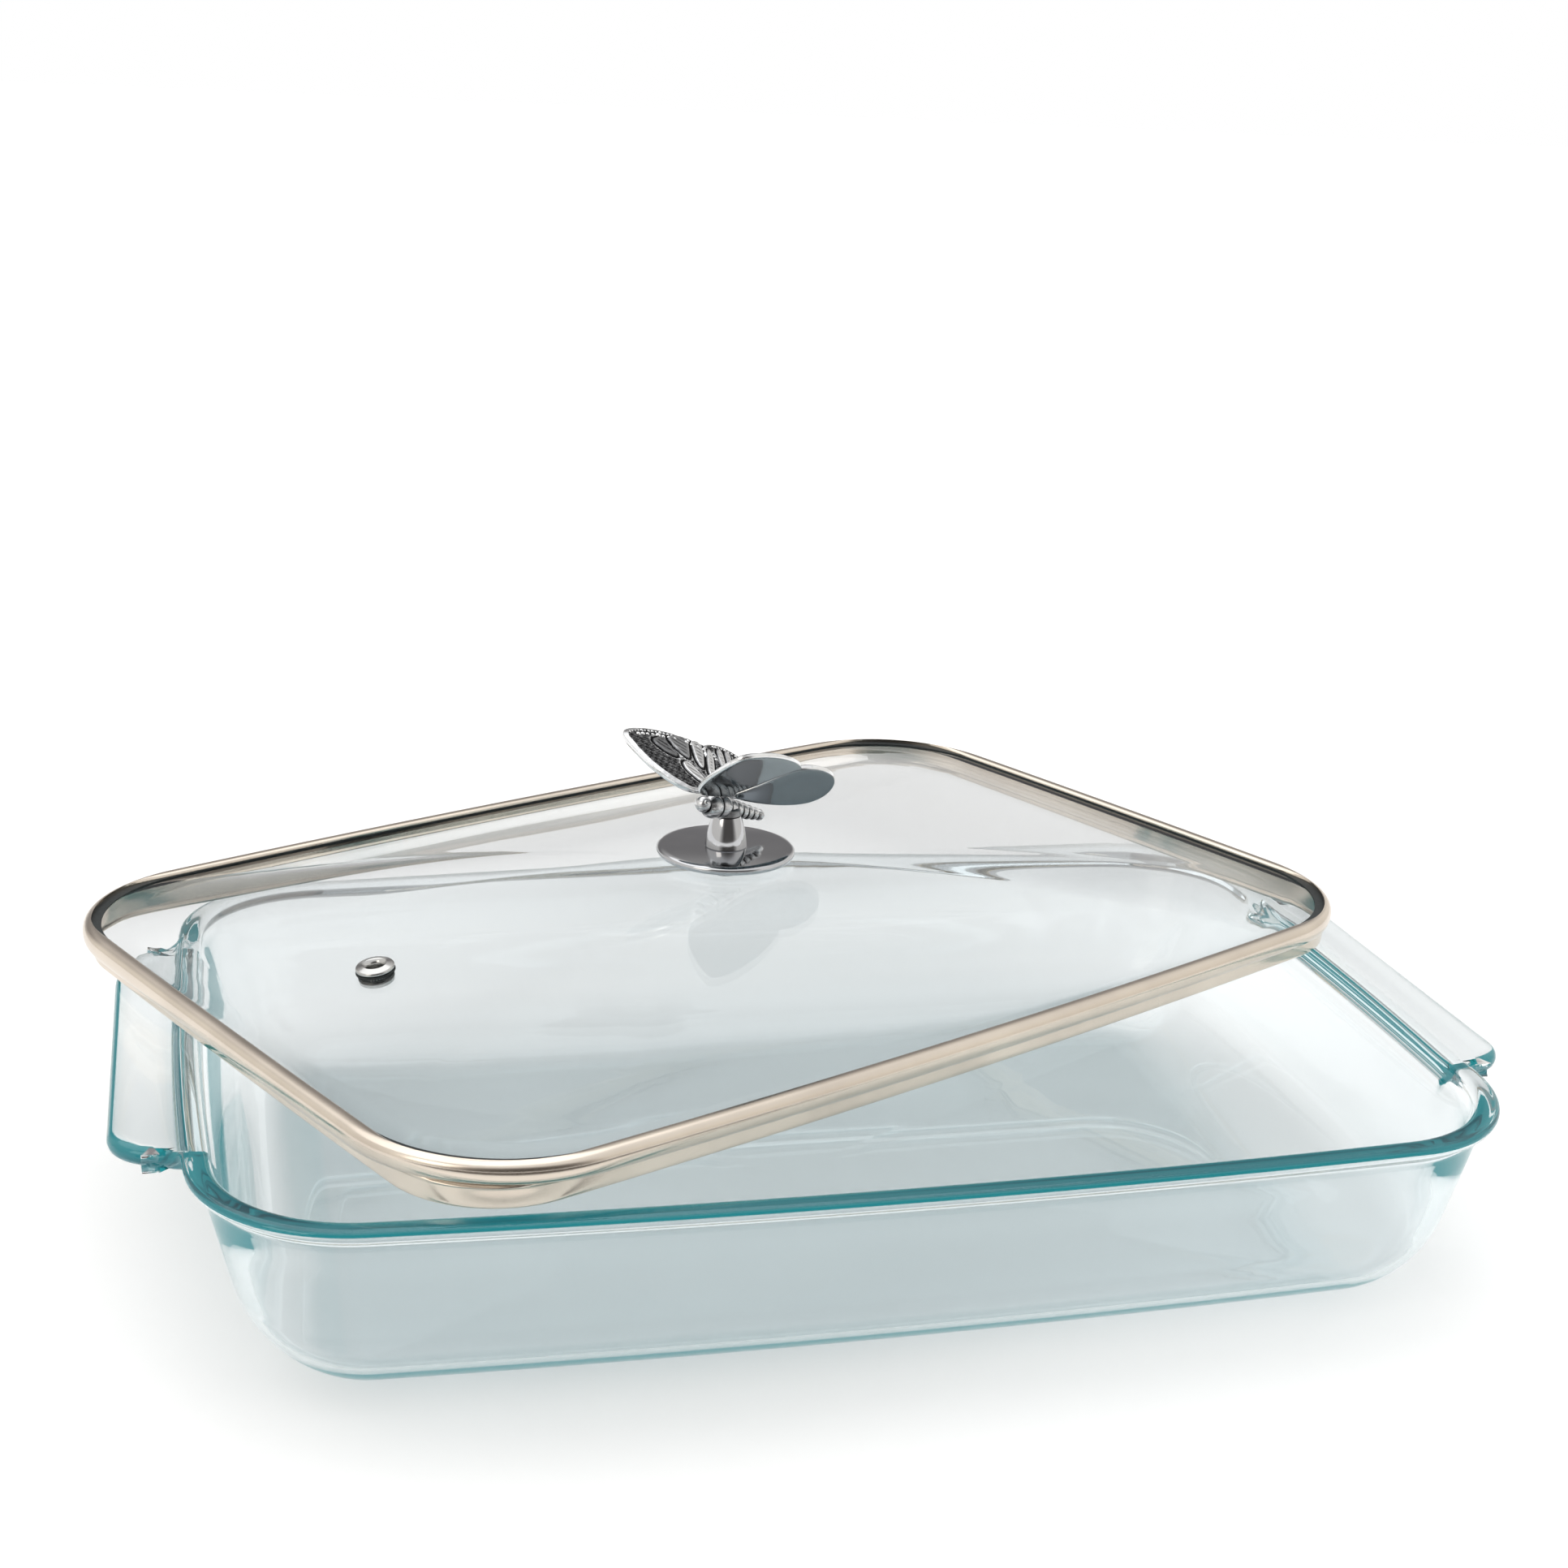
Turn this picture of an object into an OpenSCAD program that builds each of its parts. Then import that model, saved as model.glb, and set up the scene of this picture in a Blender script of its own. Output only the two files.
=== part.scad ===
// Oblong glass baking dish with a domed glass lid lying askew on its rim.
// Frame: +Z up, origin at the centre of the dish's flat base, +X along its length.
// The lid pieces are drawn in the lid's own frame and placed by on_lid().

/* [Dish] */
// Length over both end handles
dish_len = 390; // [360:1:420]
// Length over the rim, without the handles
rim_len = 357; // [330:1:380]
// Width over the rim
rim_wid = 243; // [215:1:260]
// Height of the rim above the table
dish_h = 60; // [50:1:80]
// Corner radius of the rim, outside
rim_corner_r = 44; // [36:1:54]
// Width of the rolled rim, seen from above
rim_w = 7; // [6.5:0.5:8]
// How far the rim stands out from the wall under it
rim_overhang = 4; // [3:0.5:4.5]
// Wall thickness of the glass
wall_t = 5; // [4:0.5:7]
// Thickness of the floor of the dish
floor_t = 6; // [4:0.5:9]
// How far each wall leans in from the rim to the table, at the ends
end_lean = 15.5; // [10:0.5:20]
// How far each wall leans in from the rim to the table, at the sides
side_lean = 12; // [8:0.5:18]
// Outer radius between wall and floor
foot_r = 27; // [20:1:30]
// Inner radius between wall and floor
well_r = 18; // [10:1:22]
// Outward bow of each long side
side_bow = 4; // [0:0.5:6]
// Outward bow of each short side
end_bow = 2; // [0:0.5:4]

/* [Handles] */
// Width of each handle along the short side
handle_w = 126; // [100:1:140]
// Thickness of the handle plate
handle_t = 5; // [4:0.5:7]
// Depth of the handle's top below the rim's top
handle_step = 2.5; // [1.5:0.5:4]
// Radius of the handle's outer corners
handle_corner_r = 13; // [8:1:18]
// Radius of the fillet where the handle runs into the rim
handle_fillet_r = 12; // [8:1:15]

/* [Lid] */
// Length over the steel band
lid_len = 354; // [330:1:380]
// Width over the steel band
lid_wid = 240; // [215:1:260]
// Corner radius of the band, outside
lid_corner_r = 47; // [40:1:56]
// Corner radius of the skirt under the bead, outside
skirt_corner_r = 31; // [30:1:41]
// Outward bow of the lid's long sides
lid_bow = 3; // [0:0.5:5]
// Thickness of the lid's pane
pane_t = 4; // [3:0.5:5]
// Rise of the pane's dome from its edge to the knob
dome_rise = 15.4; // [10:0.1:22]
// Thickness of the steel sheet in the band
sheet_t = 0.7; // [0.5:0.1:1]
// Thickness of the silicone between pane and band
seal_t = 0.4; // [0.3:0.1:0.8]
// Overhang of the bead outside the skirt
skirt_inset = 6; // [5:0.5:8]
// Depth of the skirt below the middle of the bead
skirt_drop = 9.8; // [8:0.1:14]
// How far the band grips over the edge of the pane
grip = 2.9; // [2:0.1:5]

/* [How the lid lies on the dish] */
// Turn of the lid about the vertical
lid_turn = 25.7; // [0:0.1:30]
// Shift of the lid's centre along the dish
lid_x = -9.7; // [-20:0.1:20]
// Shift of the lid's centre away from the front side
lid_y = 51.5; // [30:0.1:60]
// Gap between the skirt's lower edge and the rim it rests on
rest_gap = 0.2; // [0.1:0.1:0.5]

/* [Steam vent] */
// Distance of the vent from the knob
vent_x = 127; // [110:1:140]
// Diameter of the open hole
vent_bore_d = 4.5; // [4:0.1:6]
// Outer diameter of the eyelet's barrel
vent_barrel_d = 6.5; // [6.4:0.1:8]
// Outer diameter of the eyelet's flange
vent_flange_d = 10.8; // [10.4:0.1:14]
// Outer diameter of the washer under the pane
vent_washer_d = 9.8; // [9.6:0.1:13]
// Radial thickness of the silicone bush around the barrel
vent_bush_t = 0.8; // [0.7:0.1:1.2]

/* [Knob] */
// Knob's distance from the lid's middle, along the lid
knob_x = -2.8; // [-5:0.1:5]
// Knob's distance from the lid's middle, across the lid
knob_y = 2.3; // [-5:0.1:5]
// Diameter of the round base disc
disc_d = 42.6; // [36:0.2:50]
// Thickness of the base disc
disc_t = 2.6; // [1.8:0.1:4]
// Height of the stem between disc and casting
stem_h = 9.8; // [8:0.2:14]
// Diameter of the stem where it meets the disc
stem_foot_d = 13; // [11:0.1:15]
// Diameter of the stem's top
stem_top_d = 8.6; // [7.6:0.1:10]
// Thickness of the silicone pads above and below the pane
pad_t = 0.8; // [0.5:0.1:1.5]
// Diameter of the pad between the disc and the glass
upper_pad_d = 28; // [20:0.5:36]
// Diameter of the lower pad and washer
pad_d = 14; // [12:0.5:20]
// Nominal diameter of the knob's screw
screw_d = 4; // [3:0.5:5]
// Length of the screw below its head
screw_len = 16.5; // [14:0.5:20]

/* [Butterfly] */
// Reach of a front wing from its root
wing_reach = 30.5; // [26:0.5:36]
// Length of the body
fly_body_len = 32; // [26:1:36]
// Thickness of the wings
wing_t = 2.2; // [1.5:0.1:3]
// Angle of the wings above the horizontal
wing_lift = 31; // [20:1:40]
// How steeply the head points up
fly_pitch = 12.5; // [5:0.5:20]
// Tilt of the whole casting towards its right wing
fly_roll = 5; // [0:0.5:8]
// Turn of the butterfly against the lid
fly_turn = 98; // [0:1:180]

/* [Hidden] */
$fn = 64;

// steps per quarter outline: along the short side, round the corner, along the long side
SIDE_STEPS = 4;
CORNER_STEPS = 10;

// dish, derived
handle_top = dish_h - handle_step;
rim_in = rim_w - rim_overhang;
neck_z = dish_h - 6;
wall_half_len = rim_len / 2 - rim_overhang;
wall_half_wid = rim_wid / 2 - rim_overhang;
wall_corner_r = rim_corner_r - rim_overhang;
foot_corner_r = wall_corner_r - side_lean;

// lid, derived: heights are measured from the middle of the bead
bead_top = 3.2;
bead_bottom = -3.6;
pane_edge_off = 2.2;
pane_edge_top = bead_top - sheet_t - seal_t - 0.4;
pane_edge_low = pane_edge_top - pane_t;
dome_top = pane_edge_top + dome_rise;
lid_z = dish_h + rest_gap + skirt_drop;
land_r = disc_d / 2 + 1;
flat_from = 0.945;

// vent, derived
vent_hole_d = vent_barrel_d + 2 * vent_bush_t;
bush_collar_t = 0.5;
vent_washer_t = 1;
land_edge = land_r - knob_x;
land_to_edge = lid_len / 2 - pane_edge_off - land_edge;
vent_s = (vent_x - land_edge) / land_to_edge;
vent_z = pane_edge_top + dome_rise * dome_share(vent_s);
vent_slope = atan((dome_share(vent_s - 0.01) - dome_share(vent_s + 0.01)) * dome_rise
    / (0.02 * land_to_edge));

// knob, derived
disc_z = dome_top + pad_t;
stem_z = disc_z + disc_t;
fly_z = stem_z + stem_h;
screw_hole_d = screw_d + 1;
pane_hole_d = screw_d + 3;
thread_clear = 0.05;
washer_t = 1;
fly_lift = 2.7;
wing_raise = 3.3;
wing_root = 1.5;
hind_lift = 4;
hind_droop = 8;
head_z = dome_top - pane_t - pad_t - washer_t;
head_h = 2.4;

// ---- outlines ----

// One quarter of a rounded rectangle with bowed sides, from the middle of the
// +X side to just before the middle of the +Y side.
function quarter(a, b, r, bow_l, bow_s) =
    let (
        t0 = atan(2 * bow_s / (b - bow_l - r)),
        t1 = atan(2 * bow_l / (a - bow_s - r)),
        cx = a - bow_s - r * cos(t0),
        cy = b - bow_l - r * cos(t1),
        ys = cy + r * sin(t0),
        xs = cx + r * sin(t1)
    )
    concat(
        [for (i = [0 : SIDE_STEPS - 1]) let (y = ys * i / SIDE_STEPS)
            [a - bow_s * pow(y / ys, 2), y]],
        [for (i = [0 : CORNER_STEPS]) let (t = t0 + (90 - t1 - t0) * i / CORNER_STEPS)
            [cx + r * cos(t), cy + r * sin(t)]],
        [for (i = [1 : SIDE_STEPS - 1]) let (x = xs * (1 - i / SIDE_STEPS))
            [x, b - bow_l * pow(x / xs, 2)]]
    );

function turned(points) = [for (p = points) [-p[0], -p[1]]];

// The same quarter seen in the +Y, -X direction, walked on anticlockwise.
function next_quarter(a, b, r, bow_l, bow_s) =
    [for (p = quarter(b, a, r, bow_s, bow_l)) [-p[1], p[0]]];

function outline(a, b, r, bow_l, bow_s) =
    let (q1 = quarter(a, b, r, bow_l, bow_s), q2 = next_quarter(a, b, r, bow_l, bow_s))
    concat(q1, q2, turned(q1), turned(q2));

function ring(points, z) = [for (p = points) [p[0], p[1], z]];

// ---- solids from rings ----

function ring_faces(k, m, n) =
    [for (i = [0 : n - 1]) each [
        [k * n + i, m * n + i, m * n + (i + 1) % n],
        [k * n + i, m * n + (i + 1) % n, k * n + (i + 1) % n]
    ]];

// A closed skin through rings that run from the lowest outside to the last inside;
// the first and the last ring are capped.
module skin(rings) {
    n = len(rings[0]);
    last = len(rings) - 1;
    polyhedron(
        points = [for (r = rings) each r],
        faces = concat(
            [[for (i = [0 : n - 1]) i]],
            [for (k = [0 : last - 1]) each ring_faces(k, k + 1, n)],
            [[for (i = [n - 1 : -1 : 0]) last * n + i]]
        ),
        convexity = 6
    );
}

// A closed tube whose cross-section is the list of rings, first joined to last.
module hoop(rings) {
    n = len(rings[0]);
    count = len(rings);
    polyhedron(
        points = [for (r = rings) each r],
        faces = [for (k = [0 : count - 1]) each ring_faces(k, (k + 1) % count, n)],
        convexity = 8
    );
}

// ---- dish ----

// Outline of the wall at height z, moved in by off.
function wall_ring(z, off) =
    let (low = 1 - min(z / neck_z, 1))
    ring(outline(
        wall_half_len - end_lean * low - off,
        wall_half_wid - side_lean * low - off,
        max(wall_corner_r + (foot_corner_r - wall_corner_r) * low - off, 2),
        side_bow - low, max(end_bow - 1.5 * low, 0)
    ), z);

module dish_shell() {
    foot = [for (a = [0 : 15 : 90]) [foot_r * (1 - cos(a)), foot_r * (1 - sin(a))]];
    well = [for (a = [90 : -15 : 0])
        [floor_t + well_r * (1 - cos(a)), wall_t + well_r * (1 - sin(a))]];
    rim = [
        [neck_z, 0], [dish_h - 4.2, -0.6 * rim_overhang], [dish_h - 2.6, -0.92 * rim_overhang],
        [dish_h - 1.6, -rim_overhang], [dish_h - 0.6, -0.86 * rim_overhang],
        [dish_h, -0.55 * rim_overhang], [dish_h, rim_in - 2.4],
        [dish_h - 0.6, rim_in - 0.8], [dish_h - 2, rim_in], [neck_z - 2, wall_t]
    ];
    skin([for (p = concat(foot, rim, well)) wall_ring(p[0], p[1])]);
}

// Plan of one handle, with the fillets that run into the rim.
module handle_plan() {
    tip_x = dish_len / 2;
    root_x = wall_half_len - wall_t / 2;
    join_x = rim_len / 2 - 2.5;
    half_w = handle_w / 2;
    c = handle_corner_r;
    f = handle_fillet_r;
    side = concat(
        [for (a = [0 : 10 : 90]) [tip_x - c + c * cos(a), half_w - c + c * sin(a)]],
        [for (a = [270 : -10 : 200]) [join_x + f + f * cos(a), half_w + f + f * sin(a)]],
        [[root_x, half_w + f]]
    );
    polygon(concat(side, [for (i = [len(side) - 1 : -1 : 0]) [side[i][0], -side[i][1]]]));
}

module baking_dish() {
    color("powderblue") union() {
        dish_shell();
        for (end = [0, 180])
            rotate([0, 0, end])
                translate([0, 0, handle_top - handle_t])
                    linear_extrude(handle_t)
                        handle_plan();
    }
}

// ---- lid ----

module on_lid() {
    translate([lid_x, lid_y, lid_z])
        rotate([0, 0, lid_turn])
            children();
}

// The knob's own axis, at height z over the middle of the bead.
module at_knob(z) {
    on_lid() translate([knob_x, knob_y, z])
        children();
}

// Outline of the lid moved in by off, at height z.
function lid_ring(off, z) =
    ring(outline(lid_len / 2 - off, lid_wid / 2 - off, lid_corner_r - off, lid_bow, 0.5), z);

// The same with the skirt's tighter corners.
function skirt_ring(off, z) =
    ring(outline(lid_len / 2 - off, lid_wid / 2 - off, skirt_corner_r + skirt_inset - off,
        lid_bow, 0.5), z);

// Share of the dome's rise left at s, where 0 is the knob's land and 1 the pane's edge.
// The margin beyond flat_from, which the band grips, is flat.
function dome_share(s) = s < flat_from ? pow(1 - pow(s / flat_from, 2), 1.25) : 0;

// Ring of the pane at s, shared out between the round land and the pane's edge.
function pane_ring(s, z) =
    [for (p = lid_ring(pane_edge_off, 0)) let (len_p = norm([p[0], p[1]]))
        [p[0] * (s + (1 - s) * land_r / len_p) + (1 - s) * knob_x,
            p[1] * (s + (1 - s) * land_r / len_p) + (1 - s) * knob_y,
            z + dome_rise * dome_share(s)]];

module lid_pane() {
    steps = [0, 0.12, 0.25, 0.4, 0.55, 0.7, 0.82, 0.9, flat_from, 1];
    color("lightcyan") on_lid() difference() {
        skin(concat(
            [for (s = steps) pane_ring(s, pane_edge_low)],
            [for (i = [len(steps) - 1 : -1 : 0]) pane_ring(steps[i], pane_edge_top)]
        ));
        translate([knob_x, knob_y, dome_top - 3 * pane_t])
            cylinder(d = pane_hole_d, h = 4 * pane_t);
        at_vent()
            translate([0, 0, -2 * pane_t])
                cylinder(d = vent_hole_d, h = 3 * pane_t);
    }
}

module lid_band() {
    s = sheet_t;
    lip = pane_edge_off + grip;
    // folded sheet: over the pane's edge and round the bead, down the skirt to its hem and
    // up again, back under the pane
    bead = [
        [lip, bead_top - 0.6], [lip - 1, bead_top - 0.1], [2.4, bead_top], [1, bead_top - 0.6],
        [0.2, bead_top - 1.9], [0, 0.2], [0.3, -1.6], [1.3, -2.9], [2.6, bead_bottom]
    ];
    skirt = [
        [skirt_inset - 0.3, bead_bottom - 0.4], [skirt_inset, bead_bottom - 1],
        [skirt_inset, 0.6 - skirt_drop], [skirt_inset + 0.4, -skirt_drop],
        [skirt_inset + s + 0.5, -skirt_drop], [skirt_inset + s + 0.9, 0.6 - skirt_drop],
        [skirt_inset + s + 0.5, bead_bottom], [skirt_inset + s, pane_edge_low - seal_t]
    ];
    channel = [
        [pane_edge_off - seal_t, pane_edge_low - seal_t],
        [pane_edge_off - seal_t, pane_edge_top + seal_t], [lip, pane_edge_top + seal_t]
    ];
    color("lightgrey") on_lid() hoop(concat(
        [for (p = bead) lid_ring(p[0], p[1])],
        [for (p = skirt) skirt_ring(p[0], p[1])],
        [for (p = channel) lid_ring(p[0], p[1])]
    ));
}

module band_seal() {
    lip = pane_edge_off + grip;
    low_lip = skirt_inset + sheet_t;
    color("dimgrey") on_lid() hoop([
        lid_ring(pane_edge_off - seal_t, pane_edge_top + seal_t),
        lid_ring(pane_edge_off - seal_t, pane_edge_low - seal_t),
        skirt_ring(low_lip, pane_edge_low - seal_t),
        skirt_ring(low_lip, pane_edge_low),
        lid_ring(pane_edge_off, pane_edge_low),
        lid_ring(pane_edge_off, pane_edge_top),
        lid_ring(lip - 0.4, pane_edge_top),
        lid_ring(lip - 0.4, pane_edge_top + seal_t)
    ]);
}

// ---- steam vent: its own frame sits on the pane's upper face, square to the glass ----

module at_vent() {
    translate([-vent_x, 0, vent_z])
        rotate([0, -vent_slope, 0])
            children();
}

module vent_eyelet() {
    r0 = vent_bore_d / 2;
    r1 = vent_barrel_d / 2;
    r2 = vent_flange_d / 2;
    low = -pane_t - bush_collar_t - vent_washer_t;
    color("silver") on_lid() at_vent() rotate_extrude() polygon([
        [r0, low], [r1, low], [r1, bush_collar_t], [r2 - 0.5, bush_collar_t],
        [r2, bush_collar_t + 0.5], [r2 - 0.2, bush_collar_t + 1.2],
        [r2 - 1, bush_collar_t + 1.8], [r2 - 2, bush_collar_t + 1.9],
        [r1 - 0.2, bush_collar_t + 1.5], [r0, bush_collar_t + 0.6]
    ]);
}

module vent_bush() {
    r1 = vent_barrel_d / 2;
    r2 = vent_hole_d / 2;
    r3 = vent_flange_d / 2 + 0.1;
    r4 = vent_washer_d / 2 + 0.1;
    color("darkslategrey") on_lid() at_vent() rotate_extrude() polygon([
        [r1, -pane_t - bush_collar_t], [r4, -pane_t - bush_collar_t], [r4, -pane_t],
        [r2, -pane_t], [r2, 0], [r3, 0], [r3, bush_collar_t], [r1, bush_collar_t]
    ]);
}

module vent_washer() {
    color("silver") on_lid() at_vent()
        translate([0, 0, -pane_t - bush_collar_t - vent_washer_t]) difference() {
            cylinder(d = vent_washer_d, h = vent_washer_t);
            translate([0, 0, -1])
                cylinder(d = vent_barrel_d, h = vent_washer_t + 2);
        }
}

// ---- knob ----

module flat_ring(od, id, t) {
    difference() {
        cylinder(d = od, h = t);
        translate([0, 0, -1])
            cylinder(d = id, h = t + 2);
    }
}

module upper_pad() {
    color("darkslategrey") at_knob(dome_top)
        flat_ring(upper_pad_d, screw_hole_d, pad_t);
}

module lower_pad() {
    color("darkslategrey") at_knob(dome_top - pane_t - pad_t)
        flat_ring(pad_d, screw_hole_d, pad_t);
}

module screw_washer() {
    color("silver") at_knob(head_z)
        flat_ring(pad_d - 1, screw_hole_d - 0.4, washer_t);
}

module knob_screw() {
    color("silver") at_knob(head_z) {
        difference() {
            union() {
                translate([0, 0, -head_h])
                    cylinder(d = 2 * screw_d, h = head_h);
                translate([0, 0, -0.01])
                    cylinder(d = screw_d, h = screw_len);
            }
            for (a = [0, 90])
                rotate([0, 0, a])
                    translate([-screw_d / 2, -0.5, -head_h - 1])
                        cube([screw_d, 1, 2.4]);
        }
    }
}

module knob_disc() {
    r = disc_d / 2;
    color("silver") at_knob(disc_z) rotate_extrude() polygon([
        [screw_hole_d / 2, 0], [r - 1, 0], [r, disc_t * 0.4], [r - 0.3, disc_t * 0.8],
        [r - 1.2, disc_t], [screw_hole_d / 2, disc_t]
    ]);
}

module knob_stem() {
    foot = stem_foot_d / 2;
    top = stem_top_d / 2;
    bore = screw_d / 2 + thread_clear;
    deep = screw_len + head_z - stem_z + 0.6;
    color("silver") at_knob(stem_z) rotate_extrude() polygon(concat(
        [[bore, 0]],
        [for (i = [0 : 8]) let (u = i / 8)
            [top + (foot - top) * (1 - pow(u, 2.2)), stem_h * u]],
        [[0, stem_h], [0, deep], [bore, deep]]
    ));
}

// Outlines of the wings, as shares of wing_reach: the root is at the origin, the wing
// reaches along +X and the head lies towards +Y.
function wing_points(pairs) = [for (p = pairs) [p[0] * wing_reach, p[1] * wing_reach]];

fore_wing = wing_points([
    [0, -0.13], [0, 0.43], [0.07, 0.58], [0.22, 0.69], [0.41, 0.77],
    [0.61, 0.8], [0.8, 0.81], [0.92, 0.78], [0.98, 0.67], [1, 0.49], [0.98, 0.29],
    [0.93, 0.09], [0.86, -0.08], [0.77, -0.24], [0.64, -0.33], [0.51, -0.31], [0.21, -0.2]
]);
hind_wing = wing_points([
    [0, 0.1], [0.27, -0.05], [0.56, -0.13], [0.72, -0.2], [0.8, -0.34], [0.82, -0.52],
    [0.77, -0.7], [0.67, -0.84], [0.52, -0.94], [0.33, -0.98], [0.14, -0.88], [0.01, -0.5]
]);

// lift raises the tip, droop lowers the trailing edge
module wing(points, lift, droop, raise) {
    translate([0, 0, raise])
        rotate([0, -lift, 0])
            rotate([droop, 0, 0])
                translate([wing_root, 0, -wing_t / 2])
                    linear_extrude(wing_t)
                        polygon(points);
}

// Head, thorax and tapering abdomen along Y, on the body's own axis.
module fly_body() {
    head_d = 5;
    thorax_d = 7.6;
    front = 0.42 * fly_body_len;
    back = fly_body_len - front;
    rings = 6;
    translate([0, front - head_d / 2, 0.6])
        sphere(d = head_d);
    for (y = [front - 6.6, front - 10.4])
        translate([0, y, 0])
            sphere(d = thorax_d);
    for (i = [1 : rings])
        translate([0, 2 - i * back / (rings + 0.6), -0.4 * i])
            sphere(d = 6.6 - 0.5 * i);
}

module butterfly() {
    color("darkgrey") at_knob(fly_z) difference() {
        rotate([0, 0, fly_turn]) union() {
            cylinder(d = stem_top_d, h = fly_lift);
            translate([0, 0, fly_lift]) rotate([fly_pitch, fly_roll, 0]) {
                fly_body();
                for (side = [0, 1])
                    mirror([side, 0, 0]) {
                        wing(fore_wing, wing_lift, 0, wing_raise);
                        wing(hind_wing, wing_lift + hind_lift, hind_droop, wing_raise - 0.8);
                    }
            }
        }
        // the underside is cut flat and clear for the stem
        translate([0, 0, -stem_h])
            cylinder(d = stem_foot_d, h = stem_h);
    }
}

baking_dish();
lid_pane();
lid_band();
band_seal();
vent_eyelet();
vent_bush();
vent_washer();
knob_disc();
knob_stem();
butterfly();
upper_pad();
lower_pad();
screw_washer();
knob_screw();
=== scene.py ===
import math

import bpy
import numpy as np
from mathutils import Matrix, Vector


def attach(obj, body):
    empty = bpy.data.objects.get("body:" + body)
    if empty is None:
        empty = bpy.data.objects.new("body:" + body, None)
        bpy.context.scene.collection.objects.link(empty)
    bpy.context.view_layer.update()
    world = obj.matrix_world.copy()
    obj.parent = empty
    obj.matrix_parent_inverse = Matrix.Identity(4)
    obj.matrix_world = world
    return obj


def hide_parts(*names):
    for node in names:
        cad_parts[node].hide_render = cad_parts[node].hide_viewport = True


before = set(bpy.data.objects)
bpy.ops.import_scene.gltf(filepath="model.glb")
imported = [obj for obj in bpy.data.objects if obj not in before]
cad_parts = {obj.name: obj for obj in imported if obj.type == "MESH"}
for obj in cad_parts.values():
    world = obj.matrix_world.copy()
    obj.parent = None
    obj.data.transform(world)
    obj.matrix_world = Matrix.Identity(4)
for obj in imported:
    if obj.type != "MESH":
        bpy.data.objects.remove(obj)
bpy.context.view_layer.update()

MM = 0.001

# ---- sizes in millimetres, as in the part's source ----

DISH_H, FLOOR_T, WALL_T = 60.0, 6.0, 5.0
WALL_LEN, WALL_WID, WALL_R = 174.5, 117.5, 40.0       # half sizes and corner radius at the neck
END_LEAN, SIDE_LEAN, FOOT_CORNER_R = 15.5, 12.0, 28.0
SIDE_BOW, END_BOW, NECK_Z = 4.0, 2.0, 54.0
FOOT_R, WELL_R = 27.0, 18.0
RIM_OUT = 4.0                                          # how far the rim stands out from the wall
TIP_X, HANDLE_W, HANDLE_T = 195.0, 63.0, 5.0
HANDLE_TOP, HANDLE_R, HANDLE_FILLET = 57.5, 13.0, 12.0
HANDLE_LOW = HANDLE_TOP - HANDLE_T                     # underside of the handle plates

LID_X, LID_Y, LID_Z, LID_TURN = -9.7, 51.5, 70.0, 25.7
LID_LEN, LID_WID, LID_R, LID_BOW = 177.0, 120.0, 47.0, 3.0
PANE_T, PANE_EDGE, PANE_TOP, DOME_RISE = 4.0, 2.2, 1.7, 15.4
SHEET_T, SEAL_T, GRIP = 0.7, 0.4, 2.9
SKIRT_R = 37.0                                         # the skirt's corners, taken out to the bead
DOME_TOP = PANE_TOP + DOME_RISE
LAND_R, FLAT_FROM = 22.3, 0.945                         # the pane is flat beyond that share of its reach

KNOB_X, KNOB_Y = -2.8, 2.3
DISC_D, DISC_T = 42.6, 2.6
STEM_H, STEM_FOOT, STEM_TOP = 9.8, 13.0, 8.6
PAD_T, UPPER_PAD_D, PAD_D = 0.8, 28.0, 14.0
SCREW_D, SCREW_LEN, WASHER_T, HEAD_H = 4.0, 16.5, 1.0, 2.4
DISC_Z = DOME_TOP + PAD_T
STEM_Z = DISC_Z + DISC_T
FLY_Z = STEM_Z + STEM_H
HEAD_Z = DOME_TOP - PANE_T - PAD_T - WASHER_T

VENT_X, VENT_BORE, VENT_BARREL, VENT_FLANGE, BUSH_T = 127.0, 4.5, 6.5, 10.8, 0.8
BUSH_COLLAR, VENT_WASHER, VENT_WASHER_D = 0.5, 1.0, 9.8

FLY_TURN, FLY_PITCH, FLY_ROLL, FLY_LIFT, FLY_LEN = 98.0, 12.5, 5.0, 2.7, 32.0
WING_REACH, WING_T, WING_LIFT, WING_RAISE, WING_ROOT = 30.5, 2.2, 31.0, 3.3, 1.5
HIND_LIFT, HIND_DROOP = 4.0, 8.0


# ---- colours and node materials ----

def srgb(hex_colour):
    """Linear RGBA of an sRGB hex colour."""
    out = []
    for i in (1, 3, 5):
        c = int(hex_colour[i:i + 2], 16) / 255
        out.append(c / 12.92 if c <= 0.04045 else ((c + 0.055) / 1.055) ** 2.4)
    return (*out, 1.0)


def add(tree, kind, settings=None, **links):
    """Adds a node; settings are its properties and socket values, links its inputs by socket name."""
    node = tree.nodes.new(kind)
    for key, value in (settings or {}).items():
        if isinstance(key, int) or key in node.inputs:
            node.inputs[key].default_value = value
        else:
            setattr(node, key, value)
    for key, source in links.items():
        tree.links.new(source, node.inputs[key.replace("_", " ")])
    return node


def new_material(name):
    mat = bpy.data.materials.new(name)
    mat.use_nodes = True
    mat.node_tree.nodes.clear()
    return mat, mat.node_tree


def ramp(tree, source, stops):
    node = add(tree, "ShaderNodeValToRGB", Fac=source)
    bar = node.color_ramp.elements
    bar[0].position, bar[0].color = stops[0][0], srgb(stops[0][1])
    bar[1].position, bar[1].color = stops[-1][0], srgb(stops[-1][1])
    for at, colour in stops[1:-1]:
        bar.new(at).color = srgb(colour)
    return node.outputs["Color"]


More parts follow.
